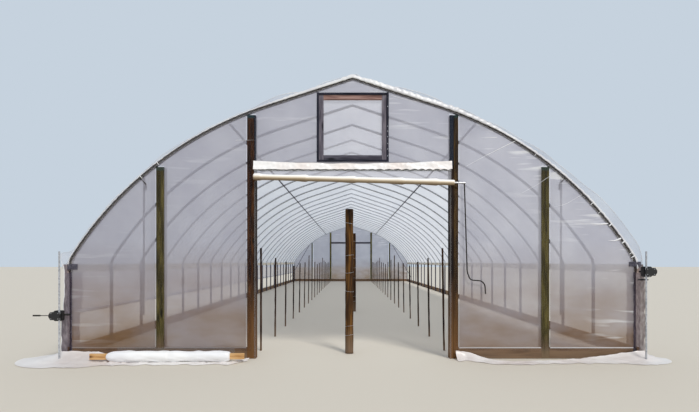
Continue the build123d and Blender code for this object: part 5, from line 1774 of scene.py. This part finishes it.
def crank_fittings(side, sign):
    """The stubs, the cover and its screws of one side's crank housing."""
    y_range = (FRONT - 0.155, FRONT - 0.072)
    spans = [slab(sign, x_range, y_range, z_range) for x_range, z_range in STUBS[side]]
    timber(
        f"gearbox_stub_{side}", spans, ACROSS, black_nylon, PLASTIC, seed=860, radius=0.006
    )
    low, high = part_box(f"gearbox_{side}")
    inner, outer = sorted((abs(low[0]), abs(high[0])))
    y_range, z_range = (low[1] - 0.012, low[1] - 0.0006), (low[2] + 0.02, high[2] - 0.02)
    cover = slab(sign, (inner + 0.006, outer - 0.05), y_range, z_range)
    timber(f"gearbox_cover_{side}", [cover], ACROSS, black_nylon, PLASTIC, seed=870)
    x0, x1 = cover[0][0] + 0.02, cover[1][0] - 0.02
    screws = [(x, low[1] - 0.0125, z) for x in (x0, x1) for z in (low[2] + 0.04, high[2] - 0.04)]
    fittings(f"gearbox_screws_{side}", screws, white_rod, PLASTIC, **SCREW)


for side, sign in SIDES:
    corner_steel(side, sign)
    crank_fittings(side, sign)

# %% [markdown]
# ## Ground, sky and sun
# The floor is a wide pale plane and isn't part of the tunnel. The world is a soft sky for the
# film to glow in, and only what the camera sees straight or by reflection is paler. The sun is
# high at the front right and slightly soft, as on a bright day with thin haze.

# %% Floor
FLOOR, FLOOR_Z = 120, -0.002  # half its width, and its height, just under the tunnel
corners = [[(x, y, FLOOR_Z) for x in (-FLOOR, FLOOR)] for y in (-FLOOR, FLOOR)]
floor = new_object("floor", grid_mesh("floor", [np.array(corners, dtype=float)]))
pale, tree, output, coords = new_material("pale_studio_floor")
inputs = {"Base Color": linear("#CFC8BB"), "Roughness": 0.9}
shade = add(tree, "ShaderNodeBsdfPrincipled", inputs)
tree.links.new(shade.outputs[0], output.inputs[0])
floor.data.materials.append(pale)
print("floor", 2 * FLOOR, "m wide")

# %% World and sun
world = bpy.data.worlds.new("sky")
bpy.context.scene.world = world
world.use_nodes = True
tree = world.node_tree
tree.nodes.clear()
ray = add(tree, "ShaderNodeLightPath").outputs
seen = ray["Is Camera Ray"]
for kind in ("Is Transmission Ray", "Is Glossy Ray"):
    seen = add(tree, "ShaderNodeMath", {0: seen, 1: ray[kind]}, operation="MAXIMUM").outputs[0]
light = add(tree, "ShaderNodeBackground", {"Color": linear("#DCE4EE"), "Strength": 0.75})
backdrop = add(tree, "ShaderNodeBackground", {"Color": linear("#C6D2DE"), "Strength": 1.0})
mixed = {0: seen, 1: light.outputs[0], 2: backdrop.outputs[0]}
mixed = add(tree, "ShaderNodeMixShader", mixed)
add(tree, "ShaderNodeOutputWorld", {"Surface": mixed.outputs[0]})
sun_data = bpy.data.lights.new("sun", "SUN")
sun_data.energy, sun_data.angle, sun_data.color = 2.0, radians(15), (1.0, 0.97, 0.92)
sun = bpy.data.objects.new("sun", sun_data)
sun.rotation_euler = (radians(42), 0, radians(30))
bpy.context.collection.objects.link(sun)
print("world and sun set")
